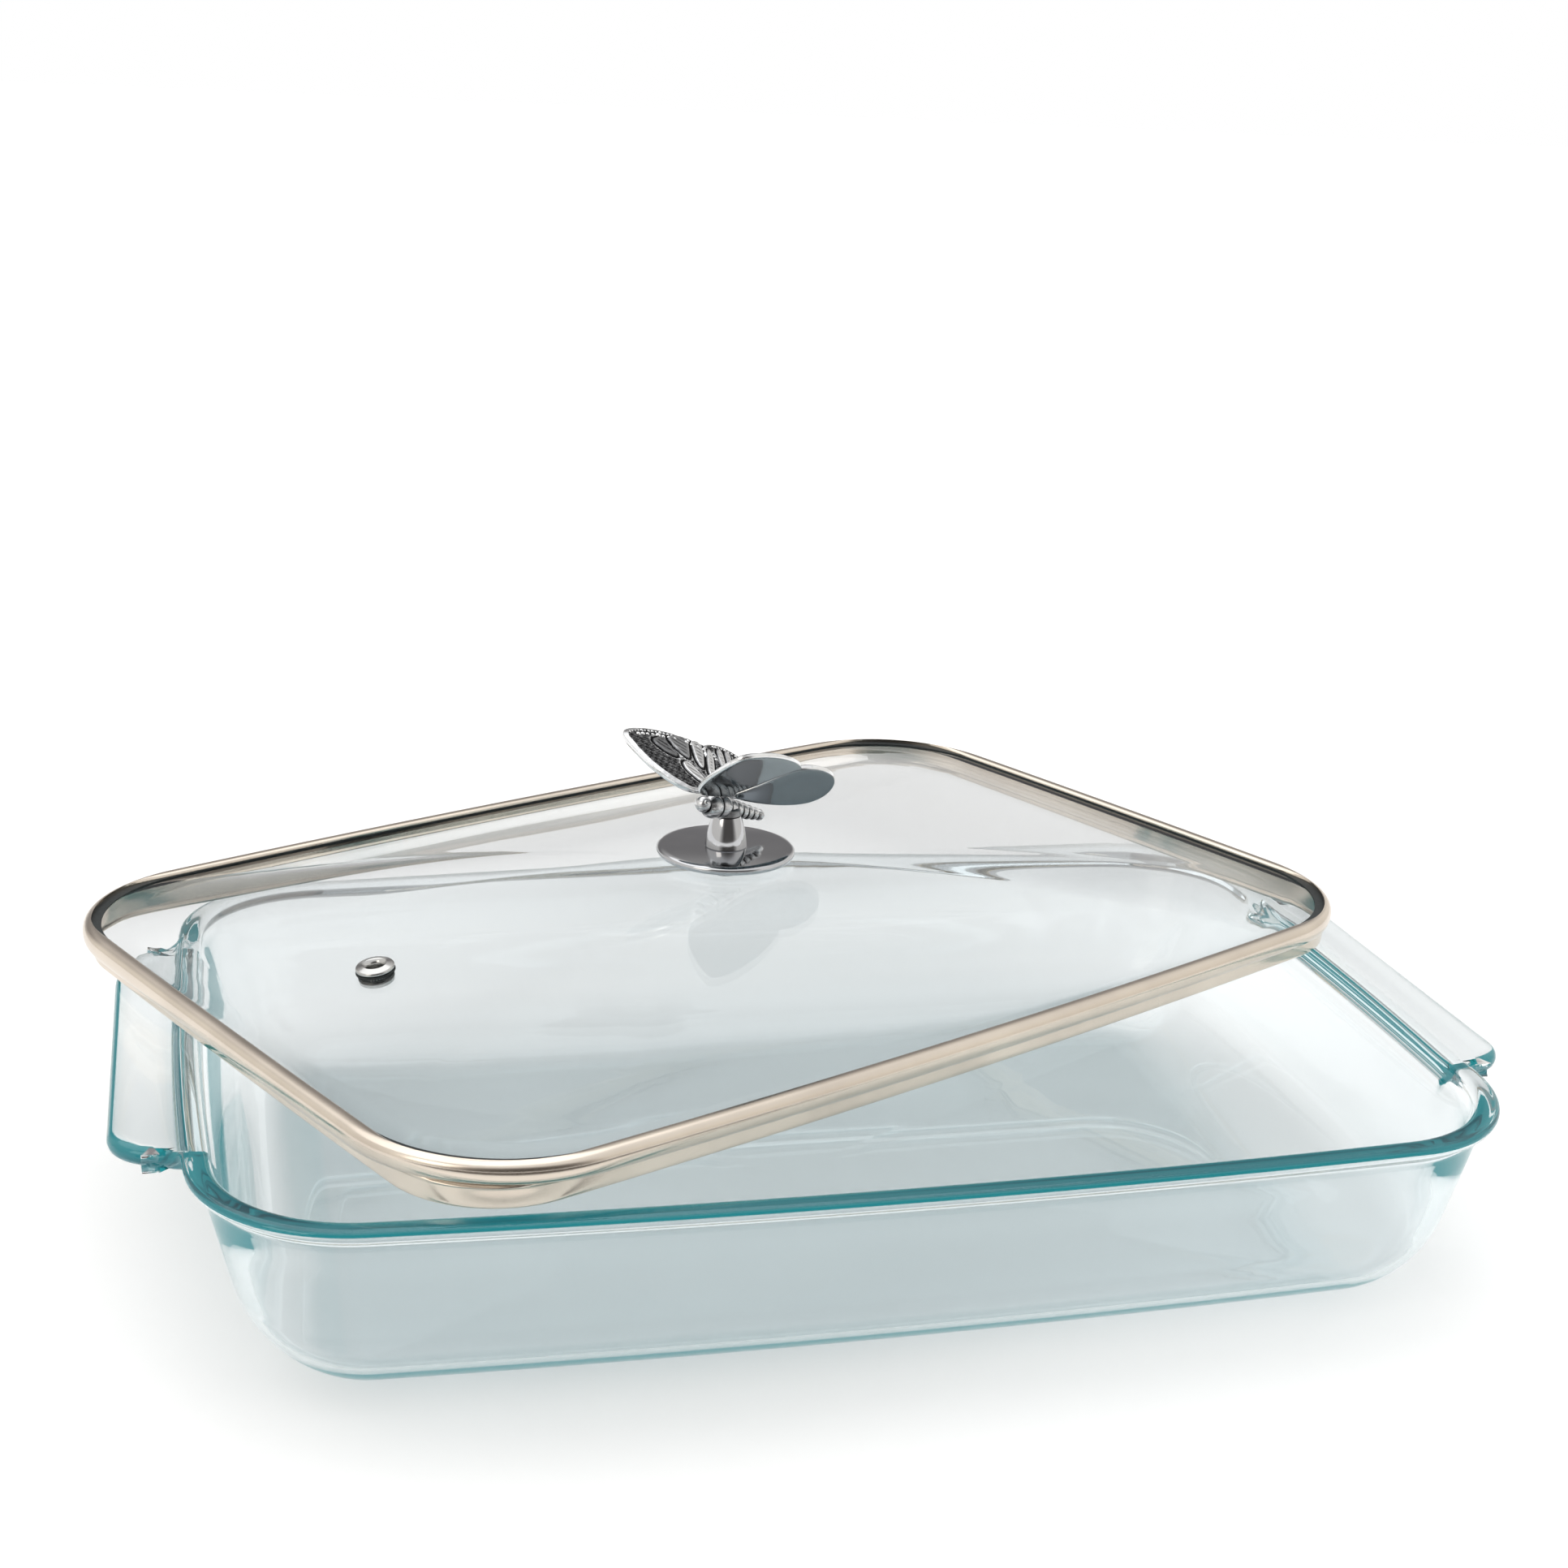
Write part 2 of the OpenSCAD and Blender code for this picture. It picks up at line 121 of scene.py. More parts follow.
PAINTED_GLOW_AFTER = 3.5         # reflections inside the glass after which its inner faces show the painted glow in the deep colour
GLASS_WAVES = 22.0         # waves per metre of a pressed or bent surface: one every 45 mm
SMUDGES = 35.0             # handling marks per metre: one every 29 mm
RUBBER_TOOTH = 900.0       # grains per metre of a moulded rubber surface: one every 1.1 mm
CAST_GRIT = 700.0          # grains per metre of a cast surface: one every 1.4 mm


def glass(name, tint, density, rough, waviness, deep, face, shade):
    """Clear soda-lime glass: IOR 1.52, its tint shows where the path through it is long. After many reflections
    inside, a ray that meets the glass's inner face gets a painted glow: an emission in the deep colour that
    stands in for the light trapped there."""
    mat, tree = new_material(name)
    place = add(tree, "ShaderNodeTexCoord").outputs["Object"]
    wave = add(tree, "ShaderNodeTexNoise", {"Scale": GLASS_WAVES, "Detail": 1.0}, Vector=place)
    bump = add(tree, "ShaderNodeBump", {"Strength": waviness, "Distance": MM}, Height=wave.outputs["Fac"])
    body = add(tree, "ShaderNodeBsdfPrincipled", {
        "Base Color": srgb(face), "Roughness": rough, "IOR": 1.52, "Transmission Weight": 1.0},
        Normal=bump.outputs["Normal"])
    clear = add(tree, "ShaderNodeBsdfTransparent", {"Color": srgb(shade)})
    rays = add(tree, "ShaderNodeLightPath")
    both = add(tree, "ShaderNodeMixShader")
    tree.links.new(rays.outputs["Is Shadow Ray"], both.inputs[0])
    tree.links.new(body.outputs[0], both.inputs[1])
    tree.links.new(clear.outputs[0], both.inputs[2])
    # painted glow: after many reflections inside the glass, its inner faces emit the deep colour in place of
    # the light trapped there
    many = add(tree, "ShaderNodeMath", {"operation": "GREATER_THAN", 1: PAINTED_GLOW_AFTER})
    tree.links.new(rays.outputs["Glossy Depth"], many.inputs[0])
    inside = add(tree, "ShaderNodeNewGeometry").outputs["Backfacing"]
    painted_glow_mask = add(tree, "ShaderNodeMath", {"operation": "MULTIPLY"})
    tree.links.new(many.outputs[0], painted_glow_mask.inputs[0])
    tree.links.new(inside, painted_glow_mask.inputs[1])
    glow = add(tree, "ShaderNodeEmission", {"Color": srgb(deep), "Strength": 1.0})
    ended = add(tree, "ShaderNodeMixShader")
    tree.links.new(painted_glow_mask.outputs[0], ended.inputs[0])
    tree.links.new(both.outputs[0], ended.inputs[1])
    tree.links.new(glow.outputs[0], ended.inputs[2])
    absorb = add(tree, "ShaderNodeVolumeAbsorption", {"Color": srgb(tint), "Density": density})
    add(tree, "ShaderNodeOutputMaterial", Surface=ended.outputs[0], Volume=absorb.outputs[0])
    return mat


def metal(name, colour, dark, rough, spread, scale, stretch=(1, 1, 1), bump_mm=0.0, grain_aniso=0.0):
    """Bare metal: its colour and roughness vary a little with handling marks and its grain."""
    mat, tree = new_material(name)
    place = add(tree, "ShaderNodeTexCoord").outputs["Object"]
    turned = add(tree, "ShaderNodeMapping", {"Scale": stretch}, Vector=place)
    marks = add(tree, "ShaderNodeTexNoise", {"Scale": scale, "Detail": 6.0}, Vector=turned.outputs["Vector"])
    smudge = add(tree, "ShaderNodeTexNoise", {"Scale": SMUDGES, "Detail": 3.0}, Vector=place)
    tone = ramp(tree, smudge.outputs["Fac"], [(0.3, dark), (0.7, colour)])
    gloss = add(tree, "ShaderNodeMapRange", {"To Min": rough, "To Max": rough + spread},
                Value=marks.outputs["Fac"])
    bump = add(tree, "ShaderNodeBump", {"Strength": 0.6, "Distance": bump_mm * MM}, Height=marks.outputs["Fac"])
    shader = add(tree, "ShaderNodeBsdfPrincipled", {"Metallic": 1.0, "Anisotropic": grain_aniso},
                 Base_Color=tone, Roughness=gloss.outputs["Result"], Normal=bump.outputs["Normal"])
    add(tree, "ShaderNodeOutputMaterial", Surface=shader.outputs[0])
    return mat


def silicone(name, colour):
    """Moulded silicone rubber: dark, matt, with a fine moulded tooth."""
    mat, tree = new_material(name)
    place = add(tree, "ShaderNodeTexCoord").outputs["Object"]
    tooth = add(tree, "ShaderNodeTexNoise", {"Scale": RUBBER_TOOTH, "Detail": 3.0}, Vector=place)
    tone = ramp(tree, tooth.outputs["Fac"], [(0.3, colour), (0.7, "#2B3132")])
    bump = add(tree, "ShaderNodeBump", {"Strength": 0.3, "Distance": 0.05 * MM}, Height=tooth.outputs["Fac"])
    shader = add(tree, "ShaderNodeBsdfPrincipled", {"Roughness": 0.5, "IOR": 1.41},
                 Base_Color=tone, Normal=bump.outputs["Normal"])
    add(tree, "ShaderNodeOutputMaterial", Surface=shader.outputs[0])
    return mat


UNDERSIDE_TONE, UNDERSIDE_ROUGH = "#656D72", 0.07      # the buffed undersides of the wings


def antiqued_casting(name):
    """Cast white metal, blackened and then polished back: dark recesses, bright high spots."""
    mat, tree = new_material(name)
    place = add(tree, "ShaderNodeTexCoord").outputs["Object"]
    depth = add(tree, "ShaderNodeAttribute", {"attribute_name": "recess"}).outputs["Fac"]
    grit = add(tree, "ShaderNodeTexNoise", {"Scale": CAST_GRIT, "Detail": 5.0}, Vector=place)
    mixed = add(tree, "ShaderNodeMath", {"operation": "MULTIPLY_ADD", 1: 0.35})
    tree.links.new(grit.outputs["Fac"], mixed.inputs[0])
    tree.links.new(depth, mixed.inputs[2])
    worked = ramp(tree, mixed.outputs[0],
                  [(0.2, "#E6E7E8"), (0.45, "#9A9B9D"), (0.8, "#1E1F21"), (1.0, "#0C0C0E")])
    worn = add(tree, "ShaderNodeMapRange", {"From Min": 0.15, "From Max": 1.0, "To Min": 0.14, "To Max": 0.62},
               Value=mixed.outputs[0])
    mirror = add(tree, "ShaderNodeAttribute", {"attribute_name": "mirror"}).outputs["Fac"]
    tone = add(tree, "ShaderNodeMix", {"data_type": "RGBA"})
    tree.links.new(mirror, tone.inputs[0])
    tree.links.new(worked, tone.inputs[6])
    tone.inputs[7].default_value = srgb(UNDERSIDE_TONE)
    gloss = add(tree, "ShaderNodeMix", {"data_type": "FLOAT"})
    tree.links.new(mirror, gloss.inputs[0])
    tree.links.new(worn.outputs["Result"], gloss.inputs[2])
    gloss.inputs[3].default_value = UNDERSIDE_ROUGH
    coarse = add(tree, "ShaderNodeMath", {"operation": "SUBTRACT", 0: 1.0})
    tree.links.new(mirror, coarse.inputs[1])
    tooth = add(tree, "ShaderNodeMath", {"operation": "MULTIPLY"})
    tree.links.new(grit.outputs["Fac"], tooth.inputs[0])
    tree.links.new(coarse.outputs[0], tooth.inputs[1])
    bump = add(tree, "ShaderNodeBump", {"Strength": 0.35, "Distance": 0.12 * MM}, Height=tooth.outputs[0])
    shader = add(tree, "ShaderNodeBsdfPrincipled", {"Metallic": 1.0},
                 Base_Color=tone.outputs[2], Roughness=gloss.outputs[0], Normal=bump.outputs["Normal"])
    add(tree, "ShaderNodeOutputMaterial", Surface=shader.outputs[0])
    return mat


# the second colour of each glass, #2F969C and #5C7A7C, is its painted glow
DISH_GLASS = glass("pressed soda-lime glass", "#4FC6CE", 11.0, 0.0, 0.02, "#2F969C", "#F8F9FA", "#D0D8DA")
LID_GLASS = glass("tempered float glass", "#A9D8D6", 3.0, 0.0, 0.01, "#5C7A7C", "#F3F5F6", "#F0F5F5")
BAND_STEEL = metal("satin stainless steel", "#DED3C5", "#CFC4B7", 0.17, 0.10, 60.0, (1, 1, 14), 0.01, 0.3)
VENT_STEEL = metal("polished stainless steel", "#CFCFCE", "#BDBDBB", 0.10, 0.10, 300.0, (1, 1, 1), 0.01)
KNOB_METAL = metal("polished white metal", "#C4C5C7", "#B2B3B6", 0.05, 0.07, 120.0)
SCREW_STEEL = metal("turned stainless steel", "#C2C2C0", "#A9A9A7", 0.22, 0.12, 500.0, (1, 1, 1), 0.01)
SILICONE = silicone("moulded silicone rubber", "#191D1E")
CASTING = antiqued_casting("antiqued cast white metal")


# ---- mesh helpers ----

def moved_by(matrix, verts):
    m = np.array(matrix, float)
    return np.asarray(verts, float) @ m[:3, :3].T + m[:3, 3]


def piece(name, verts, faces, material, body, place=None, sharp=40.0, node=None):
    """A finished piece: verts in millimetres are placed, scaled to metres and put in the mesh itself."""
    co = moved_by(place if place is not None else Matrix.Identity(4), verts)
    mesh = bpy.data.meshes.new(name)
    mesh.from_pydata((co * MM).tolist(), [], faces)
    mesh.validate()
    mesh.shade_smooth()
    mesh.set_sharp_from_angle(angle=math.radians(sharp))
    mesh.materials.append(material)
    obj = bpy.data.objects.new(name, mesh)
    bpy.context.scene.collection.objects.link(obj)
    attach(obj, body)
    if node:
        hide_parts(node)
    return obj


def quads(k, m, n):
    """Faces between ring k and ring m, both of n points."""
    return [(k * n + i, k * n + (i + 1) % n, m * n + (i + 1) % n, m * n + i) for i in range(n)]


def skin(rings):
    """Closed skin through rings from the middle of the underside to the middle of the top."""
    n = len(rings[0])
    verts = np.vstack(rings)
    faces = [f for k in range(len(rings) - 1) for f in quads(k, k + 1, n)]
    first, last = verts[:n].mean(0), verts[-n:].mean(0)
    low, high = len(verts), len(verts) + 1
    base = (len(rings) - 1) * n
    faces += [(low, (i + 1) % n, i) for i in range(n)]
    faces += [(base + i, base + (i + 1) % n, high) for i in range(n)]
    return np.vstack([verts, first, last]), faces


def hoop(rings):
    """Closed tube whose section runs through the rings, last joined to first."""
    n = len(rings[0])
    count = len(rings)
    return np.vstack(rings), [f for k in range(count) for f in quads(k, (k + 1) % count, n)]


def lathe(profile, steps=96):
    """Turned solid from (radius, height) points that go round the section anticlockwise."""
    verts, index = [], []
    for r, z in profile:
        if r < 1e-6:
            index.append([len(verts)] * steps)
            verts.append((0, 0, z))
        else:
            index.append(list(range(len(verts), len(verts) + steps)))
            verts += [(r * math.cos(2 * math.pi * i / steps), r * math.sin(2 * math.pi * i / steps), z)
                      for i in range(steps)]
    faces = []
    closed = profile[0][0] > 1e-6 or profile[-1][0] > 1e-6
    for k in range(len(profile) if closed else len(profile) - 1):
        a, b = index[k], index[(k + 1) % len(profile)]
        for i in range(steps):
            j = (i + 1) % steps
            face = list(dict.fromkeys((a[i], a[j], b[j], b[i])))
            if len(face) > 2:
                faces.append(face)
    return verts, faces


def rounded(points, rounds=2, closed=True):
    """Cuts the corners of a polyline, each time to a quarter of its sides."""
    p = np.asarray(points, float)
    for _ in range(rounds):
        q = np.roll(p, -1, axis=0)
        cut = np.stack([0.75 * p + 0.25 * q, 0.25 * p + 0.75 * q], axis=1)
        if not closed:
            cut = cut[:-1]
            p = np.vstack([p[:1], cut.reshape(-1, p.shape[1]), p[-1:]])
        else:
            p = cut.reshape(-1, p.shape[1])
    return p


def arc(cx, cy, r, a0, a1, steps):
    t = np.radians(np.linspace(a0, a1, steps))
    return np.column_stack([cx + r * np.cos(t), cy + r * np.sin(t)])


# ---- outlines ----

LONG_STEPS, CORNER_STEPS, SHORT_STEPS = 20, 22, 40


def outline(a, b, r, bow_l, bow_s, short=None):
    """Rounded rectangle with bowed sides, from the middle of its +X side, anticlockwise."""
    t0 = math.atan(2 * bow_s / (b - bow_l - r))
    t1 = math.atan(2 * bow_l / (a - bow_s - r))
    cx = a - bow_s - r * math.cos(t0)
    cy = b - bow_l - r * math.cos(t1)
    ys = cy + r * math.sin(t0)
    xs = cx + r * math.sin(t1)
    share = np.linspace(0, 1, SHORT_STEPS + 1)[:-1] if short is None else short
    y = ys * share
    side = np.column_stack([a - bow_s * share ** 2, y])
    t = t0 + (math.pi / 2 - t1 - t0) * np.linspace(0, 1, CORNER_STEPS)
    corner = np.column_stack([cx + r * np.cos(t), cy + r * np.sin(t)])
    x = xs * (1 - np.arange(1, LONG_STEPS + 1) / LONG_STEPS)
    long_side = np.column_stack([x, b - bow_l * (x / xs) ** 2])
    first = np.vstack([side, corner, long_side])          # +X middle to +Y middle
    second = (first * (-1, 1))[::-1][1:]                   # +Y middle to -X middle
    upper = np.vstack([first, second])
    lower = (upper * (1, -1))[::-1][1:-1]
    return np.vstack([upper, lower])


def at_height(points, z):
    return np.column_stack([points, np.full(len(points), z) if np.isscalar(z) else z])


# ---- the dish ----

def wall_outline(z, off, short=None):
    low = 1 - min(z / NECK_Z, 1)
    return outline(WALL_LEN - END_LEAN * low - off, WALL_WID - SIDE_LEAN * low - off,
                   max(WALL_R + (FOOT_CORNER_R - WALL_R) * low - off, 1.5),
                   SIDE_BOW - low, max(END_BOW - 1.5 * low, 0), short)


def handle_plan():
    """A quarter of the rim's outer edge with its handle, and the matching places along the rim's side."""
    rim = wall_outline(NECK_Z, -RIM_OUT)
    join_x = rim[0][0] - 2.5
    edge = np.column_stack([np.full(14, TIP_X), np.linspace(0, HANDLE_W - HANDLE_R, 14)])
    corner = arc(TIP_X - HANDLE_R, HANDLE_W - HANDLE_R, HANDLE_R, 0, 90, 12)[1:]
    fillet = arc(join_x + HANDLE_FILLET, HANDLE_W + HANDLE_FILLET, HANDLE_FILLET, 270, 203, 10)[1:]
    plan = np.vstack([edge, corner, fillet])
    match = np.concatenate([edge[:, 1], np.linspace(HANDLE_W - HANDLE_R, HANDLE_W - 2, 12)[1:],
                            np.linspace(HANDLE_W - 2, HANDLE_W + 6.6, 10)[1:]])
    return plan, match


PLATE_EASE = 2.2           # width of the rounding along the handle plate's edge


def dish_rings():
    """Rings from the middle of the underside, up the wall, over the rim and handles, to the well's floor."""
    plan, match = handle_plan()
    b, r = WALL_WID + RIM_OUT, WALL_R + RIM_OUT
    t0 = math.atan(2 * END_BOW / (b - SIDE_BOW - r))
    t1 = math.atan(2 * SIDE_BOW / (WALL_LEN + RIM_OUT - END_BOW - r))
    ys = b - SIDE_BOW - r * math.cos(t1) + r * math.sin(t0)
    tail = np.linspace(match[-1], ys, 4)[1:-1]
    shares = np.concatenate([match, tail]) / ys
    rim = wall_outline(NECK_Z, -RIM_OUT, shares)
    quarter_n = len(shares) + CORNER_STEPS + LONG_STEPS
    first = rim[:quarter_n].copy()
    first[:len(plan)] = np.where(plan[:, :1] > first[:len(plan), :1], plan, first[:len(plan)])
    second = (first * (-1, 1))[::-1][1:]
    upper = np.vstack([first, second])
    far = np.vstack([upper, (upper * (1, -1))[::-1][1:-1]])
    gap = np.linalg.norm(far - rim, axis=1)
    w = np.clip(gap / 5.0, 0, 1)
    w = w * w * (3 - 2 * w)                                # 1 on the handle plate, 0 along the plain rim
    tangent = np.roll(far, -1, axis=0) - np.roll(far, 1, axis=0)
    tangent /= np.maximum(np.linalg.norm(tangent, axis=1), 1e-9)[:, None]
    edge_normal = np.column_stack([tangent[:, 1], -tangent[:, 0]])

    def to(off, z):
        """Ring of the wall at height z, moved in by off."""
        return at_height(wall_outline(z, off, shares), z)

    def blend(bare, plate):
        """The bare rim's ring where there is no handle, the plate's ring where there is."""
        return bare + (plate - bare) * w[:, None]

    def edge_ring(plain, plate):
        """plain = (stand-out, z) of the bare rim's nose; plate = (inset from the handle's edge, z)."""
        return blend(to(-plain[0], plain[1]), at_height(far - edge_normal * plate[0], plate[1]))

    def mid_ring(t, plain, plate_z):
        """Ring a share t of the way from the rim to the handle's edge."""
        across = rim + (far - edge_normal * PLATE_EASE - rim) * t
        return blend(to(-plain[0], plain[1]), at_height(across, plate_z))

    rings = []
    for a in np.linspace(0, 90, 12):                       # underside's fillet
        z, off = FOOT_R * (1 - math.cos(math.radians(a))), FOOT_R * (1 - math.sin(math.radians(a)))
        rings.append(to(off, z))
    rings.append(to(0, 40.0))
    rings.append(to(0, 48.0))
    plain_low = [(52.2, 0.0), (54.2, 0.4), (55.4, 1.3), (56.2, 2.5)]     # neck under the rim: z, stand-out
    plate_low = [(50.6, 0.1), (51.6, 0.9), (52.2, 2.2), (52.5, 3.6)]
    for (z0, o0), (z1, o1) in zip(plain_low, plate_low):
        rings.append(blend(to(-o0, z0), to(-o1, z1)))
    for t in (0.33, 0.66):
        rings.append(mid_ring(t, (2.8 + 0.3 * t, 56.4 + 0.2 * t), HANDLE_LOW))
    nose = [((3.3, 56.8), (PLATE_EASE, HANDLE_LOW)), ((3.75, 57.4), (1.2, 52.75)), ((3.97, 58.1), (0.35, 53.6)),
            ((RIM_OUT, 58.5), (0.0, 55.0)), ((3.93, 58.9), (0.3, 56.3)), ((3.7, 59.35), (1.1, 57.15)),
            ((3.3, 59.7), (PLATE_EASE, HANDLE_TOP))]
    for plain, plate in nose:
        rings.append(edge_ring(plain, plate))
    for t in (0.66, 0.33):
        rings.append(mid_ring(t, (3.1 - 0.2 * (0.66 - t) / 0.33, 59.78), HANDLE_TOP))
    step = [((2.7, 59.88), (0.6, HANDLE_TOP)), ((2.5, 59.92), (-0.1, 57.75)), ((2.4, 59.94), (-0.6, 58.4)),
            ((2.3, 59.96), (-0.95, 59.3)), ((2.1, 59.98), (-1.5, 59.85)), ((1.8, DISH_H), (-2.3, DISH_H))]
    for plain, plate in step:
        on_step = at_height(wall_outline(NECK_Z, -RIM_OUT - plate[0], shares), plate[1])
        rings.append(blend(to(-plain[0], plain[1]), on_step))
    for off, z in [(0.0, DISH_H), (0.9, 59.95), (1.7, 59.7), (2.4, 59.2), (2.85, 58.5), (3.0, 57.6),
                   (3.4, 55.5), (4.4, 53.2), (WALL_T, 51.0), (WALL_T, 40.0), (WALL_T, 32.0)]:
        rings.append(to(off, z))
    for a in np.linspace(90, 0, 12):
        z = FLOOR_T + WELL_R * (1 - math.cos(math.radians(a)))
        rings.append(to(WALL_T + WELL_R * (1 - math.sin(math.radians(a))), z))
    return rings


verts, faces = skin(dish_rings())
piece("pressed_glass_dish", verts, faces, DISH_GLASS, "dish", sharp=70.0, node="baking_dish")


# ---- the lid ----

ON_LID = Matrix.Translation((LID_X, LID_Y, LID_Z)) @ Matrix.Rotation(math.radians(LID_TURN), 4, "Z")
AT_KNOB = ON_LID @ Matrix.Translation((KNOB_X, KNOB_Y, 0))


def lid_outline(off, corner=LID_R):
    return outline(LID_LEN - off, LID_WID - off, corner - off, LID_BOW, 0.5)


def dome_share(s):
    return max(1 - (s / FLAT_FROM) ** 2, 0) ** 1.25


def pane_ring(s, z, r_land=LAND_R):
    edge = lid_outline(PANE_EDGE)
    round_land = edge / np.linalg.norm(edge, axis=1)[:, None] * r_land + (KNOB_X, KNOB_Y)
    return at_height(edge * s + round_land * (1 - s), z + DOME_RISE * dome_share(s))


def land_ring(r, z):
    edge = lid_outline(PANE_EDGE)
    return at_height(edge / np.linalg.norm(edge, axis=1)[:, None] * r + (KNOB_X, KNOB_Y), z)


steps = [0.05, 0.12, 0.2, 0.3, 0.4, 0.5, 0.6, 0.7, 0.78, 0.84, 0.89, 0.925, FLAT_FROM, 0.965, 0.985]
low_z, hole_r = PANE_TOP - PANE_T, 3.5
edge_round = [(0.35, 0.12), (0.12, 0.6), (0.0, 1.4), (0.0, 2.6), (0.12, 3.4), (0.35, 3.88)]
pane_rings = [land_ring(hole_r, DOME_TOP - PANE_T), land_ring(12, DOME_TOP - PANE_T)]
pane_rings += [pane_ring(s, low_z) for s in [0.0] + steps]
pane_rings += [at_height(lid_outline(PANE_EDGE + off), low_z + up) for off, up in edge_round]
pane_rings += [pane_ring(s, PANE_TOP) for s in steps[::-1] + [0.0]]
pane_rings += [land_ring(12, DOME_TOP), land_ring(hole_r, DOME_TOP)]
verts, faces = hoop(pane_rings)
pane = piece("domed_pane", verts, faces, LID_GLASS, "lid", ON_LID, 50.0, "lid_pane")

# band: over the pane's edge, round the bead, back under the pane and down the skirt to a rolled hem
LIP = PANE_EDGE + GRIP
section = [
    (LIP, 2.6), (LIP - 0.5, 3.0), (LIP - 1.2, 3.2), (2.4, 3.2), (1.3, 2.8), (0.5, 2.1), (0.1, 1.2), (0, 0.2),
    (0.1, -0.9), (0.5, -2.0), (1.3, -2.9), (2.5, -3.45), (4.0, -3.7), (5.4, -3.9), (5.95, -4.3), (6.0, -5.0),
    (6.0, -6.6), (6.0, -8.6), (6.15, -9.35), (6.6, -9.8), (7.2, -9.8), (7.6, -9.4), (7.55, -8.9), (7.1, -8.7),
    (6.8, -8.5), (6.7, -6.6), (6.7, -4.6), (6.7, -2.7), (1.8, -2.7), (1.8, 2.1), (LIP, 2.1)]
section = np.vstack([rounded(section[:27], 2, closed=False), section[27:]])


def skirt_corner(off):
    """The skirt's corners are tighter than the bead's."""
    return LID_R + (SKIRT_R - LID_R) * min(max((off - 2.5) / 3.2, 0), 1)


verts, faces = hoop([at_height(lid_outline(off, skirt_corner(off)), z) for off, z in section])
piece("rolled_band", verts, faces, BAND_STEEL, "lid", ON_LID, 50.0, "lid_band")

seal = [(1.8, 2.1), (1.8, -2.7), (6.7, -2.7), (6.7, -2.3), (2.2, -2.3), (2.2, 1.7), (LIP + 0.25, 1.7),
        (LIP + 0.15, 2.1)]
verts, faces = hoop([at_height(lid_outline(off, SKIRT_R if off > 6 else LID_R), z) for off, z in seal])
piece("seal_strip", verts, faces, SILICONE, "lid", ON_LID, 30.0, "band_seal")

# ---- steam vent ----

near_edge = LAND_R - KNOB_X
to_edge = LID_LEN - PANE_EDGE - near_edge
vent_s = (VENT_X - near_edge) / to_edge
vent_z = PANE_TOP + DOME_RISE * dome_share(vent_s)
vent_slope = math.atan((dome_share(vent_s - 0.01) - dome_share(vent_s + 0.01)) * DOME_RISE / (0.02 * to_edge))
AT_VENT = ON_LID @ Matrix.Translation((-VENT_X, 0, vent_z)) @ Matrix.Rotation(-vent_slope, 4, "Y")

hole = VENT_BARREL / 2 + BUSH_T
cutter_v, cutter_f = lathe([(0, -12), (hole, -12), (hole, 8), (0, 8)], 64)
cutter_mesh = bpy.data.meshes.new("vent_drill")
cutter_mesh.from_pydata((moved_by(AT_VENT, cutter_v) * MM).tolist(), [], cutter_f)
drill = bpy.data.objects.new("vent_drill", cutter_mesh)
bpy.context.scene.collection.objects.link(drill)
cut = pane.modifiers.new("vent hole", "BOOLEAN")
cut.operation, cut.solver, cut.object = "DIFFERENCE", "EXACT", drill
bpy.context.view_layer.update()
drilled = bpy.data.meshes.new_from_object(pane.evaluated_get(bpy.context.evaluated_depsgraph_get()))
pane.modifiers.clear()
pane.data = drilled
bpy.data.objects.remove(drill)
drilled.shade_smooth()
drilled.set_sharp_from_angle(angle=math.radians(50))

r0, r1, r2, t = VENT_BORE / 2, VENT_BARREL / 2, VENT_FLANGE / 2, BUSH_COLLAR
low = -PANE_T - BUSH_COLLAR - VENT_WASHER
eyelet = [(r0, low), (r0 + 0.6, low - 0.25), (r1 + 0.9, low - 0.2), (r1 + 0.9, low), (r1, low + 0.1), (r1, t),
          (r2 - 0.5, t)]
roll = 0.7                                             # radius of the flange's rolled edge
eyelet += [(r2 + roll * math.cos(a) - roll, t + roll + roll * math.sin(a))
           for a in np.radians(np.linspace(-60, 80, 9))]
eyelet += [(r2 - 1.3, t + 1.55), (r2 - 2.0, t + 1.85), (r1 + 0.2, t + 1.8), (r1 - 0.5, t + 1.35),
           (r0 + 0.15, t + 0.8), (r0, t + 0.3)]
verts, faces = lathe(eyelet)
piece("vent_eyelet_flange", verts, faces, VENT_STEEL, "lid", AT_VENT, 50.0, "vent_eyelet")

rb, rf, rl = r1 + BUSH_T, r2 + 0.1, VENT_WASHER_D / 2 + 0.1
bush = [(r1, -PANE_T - t), (rl - 0.2, -PANE_T - t), (rl, -PANE_T - t + 0.2), (rl, -PANE_T), (rb, -PANE_T),
        (rb, 0), (rf, 0), (rf, t - 0.2), (rf - 0.2, t), (r1, t)]
verts, faces = lathe(bush)
piece("vent_bush_ring", verts, faces, SILICONE, "lid", AT_VENT, 30.0, "vent_bush")
r3 = VENT_WASHER_D / 2
washer = [(r1, low), (r3 - 0.2, low), (r3, low + 0.2), (r3, low + VENT_WASHER), (r1, low + VENT_WASHER)]
verts, faces = lathe(washer)
piece("vent_backing_washer", verts, faces, VENT_STEEL, "lid", AT_VENT, 30.0, "vent_washer")

# ---- knob ----

def flat_ring(name, outer, inner, z, thick, material, node, ease=0.2):
    """A flat washer or pad round the screw, its outer edges eased."""
    ring = [(inner, z), (outer - ease, z), (outer, z + ease), (outer, z + thick - ease),
            (outer - ease, z + thick), (inner, z + thick)]
    verts, faces = lathe(ring)
    piece(name, verts, faces, material, "lid", AT_KNOB, 30.0, node)


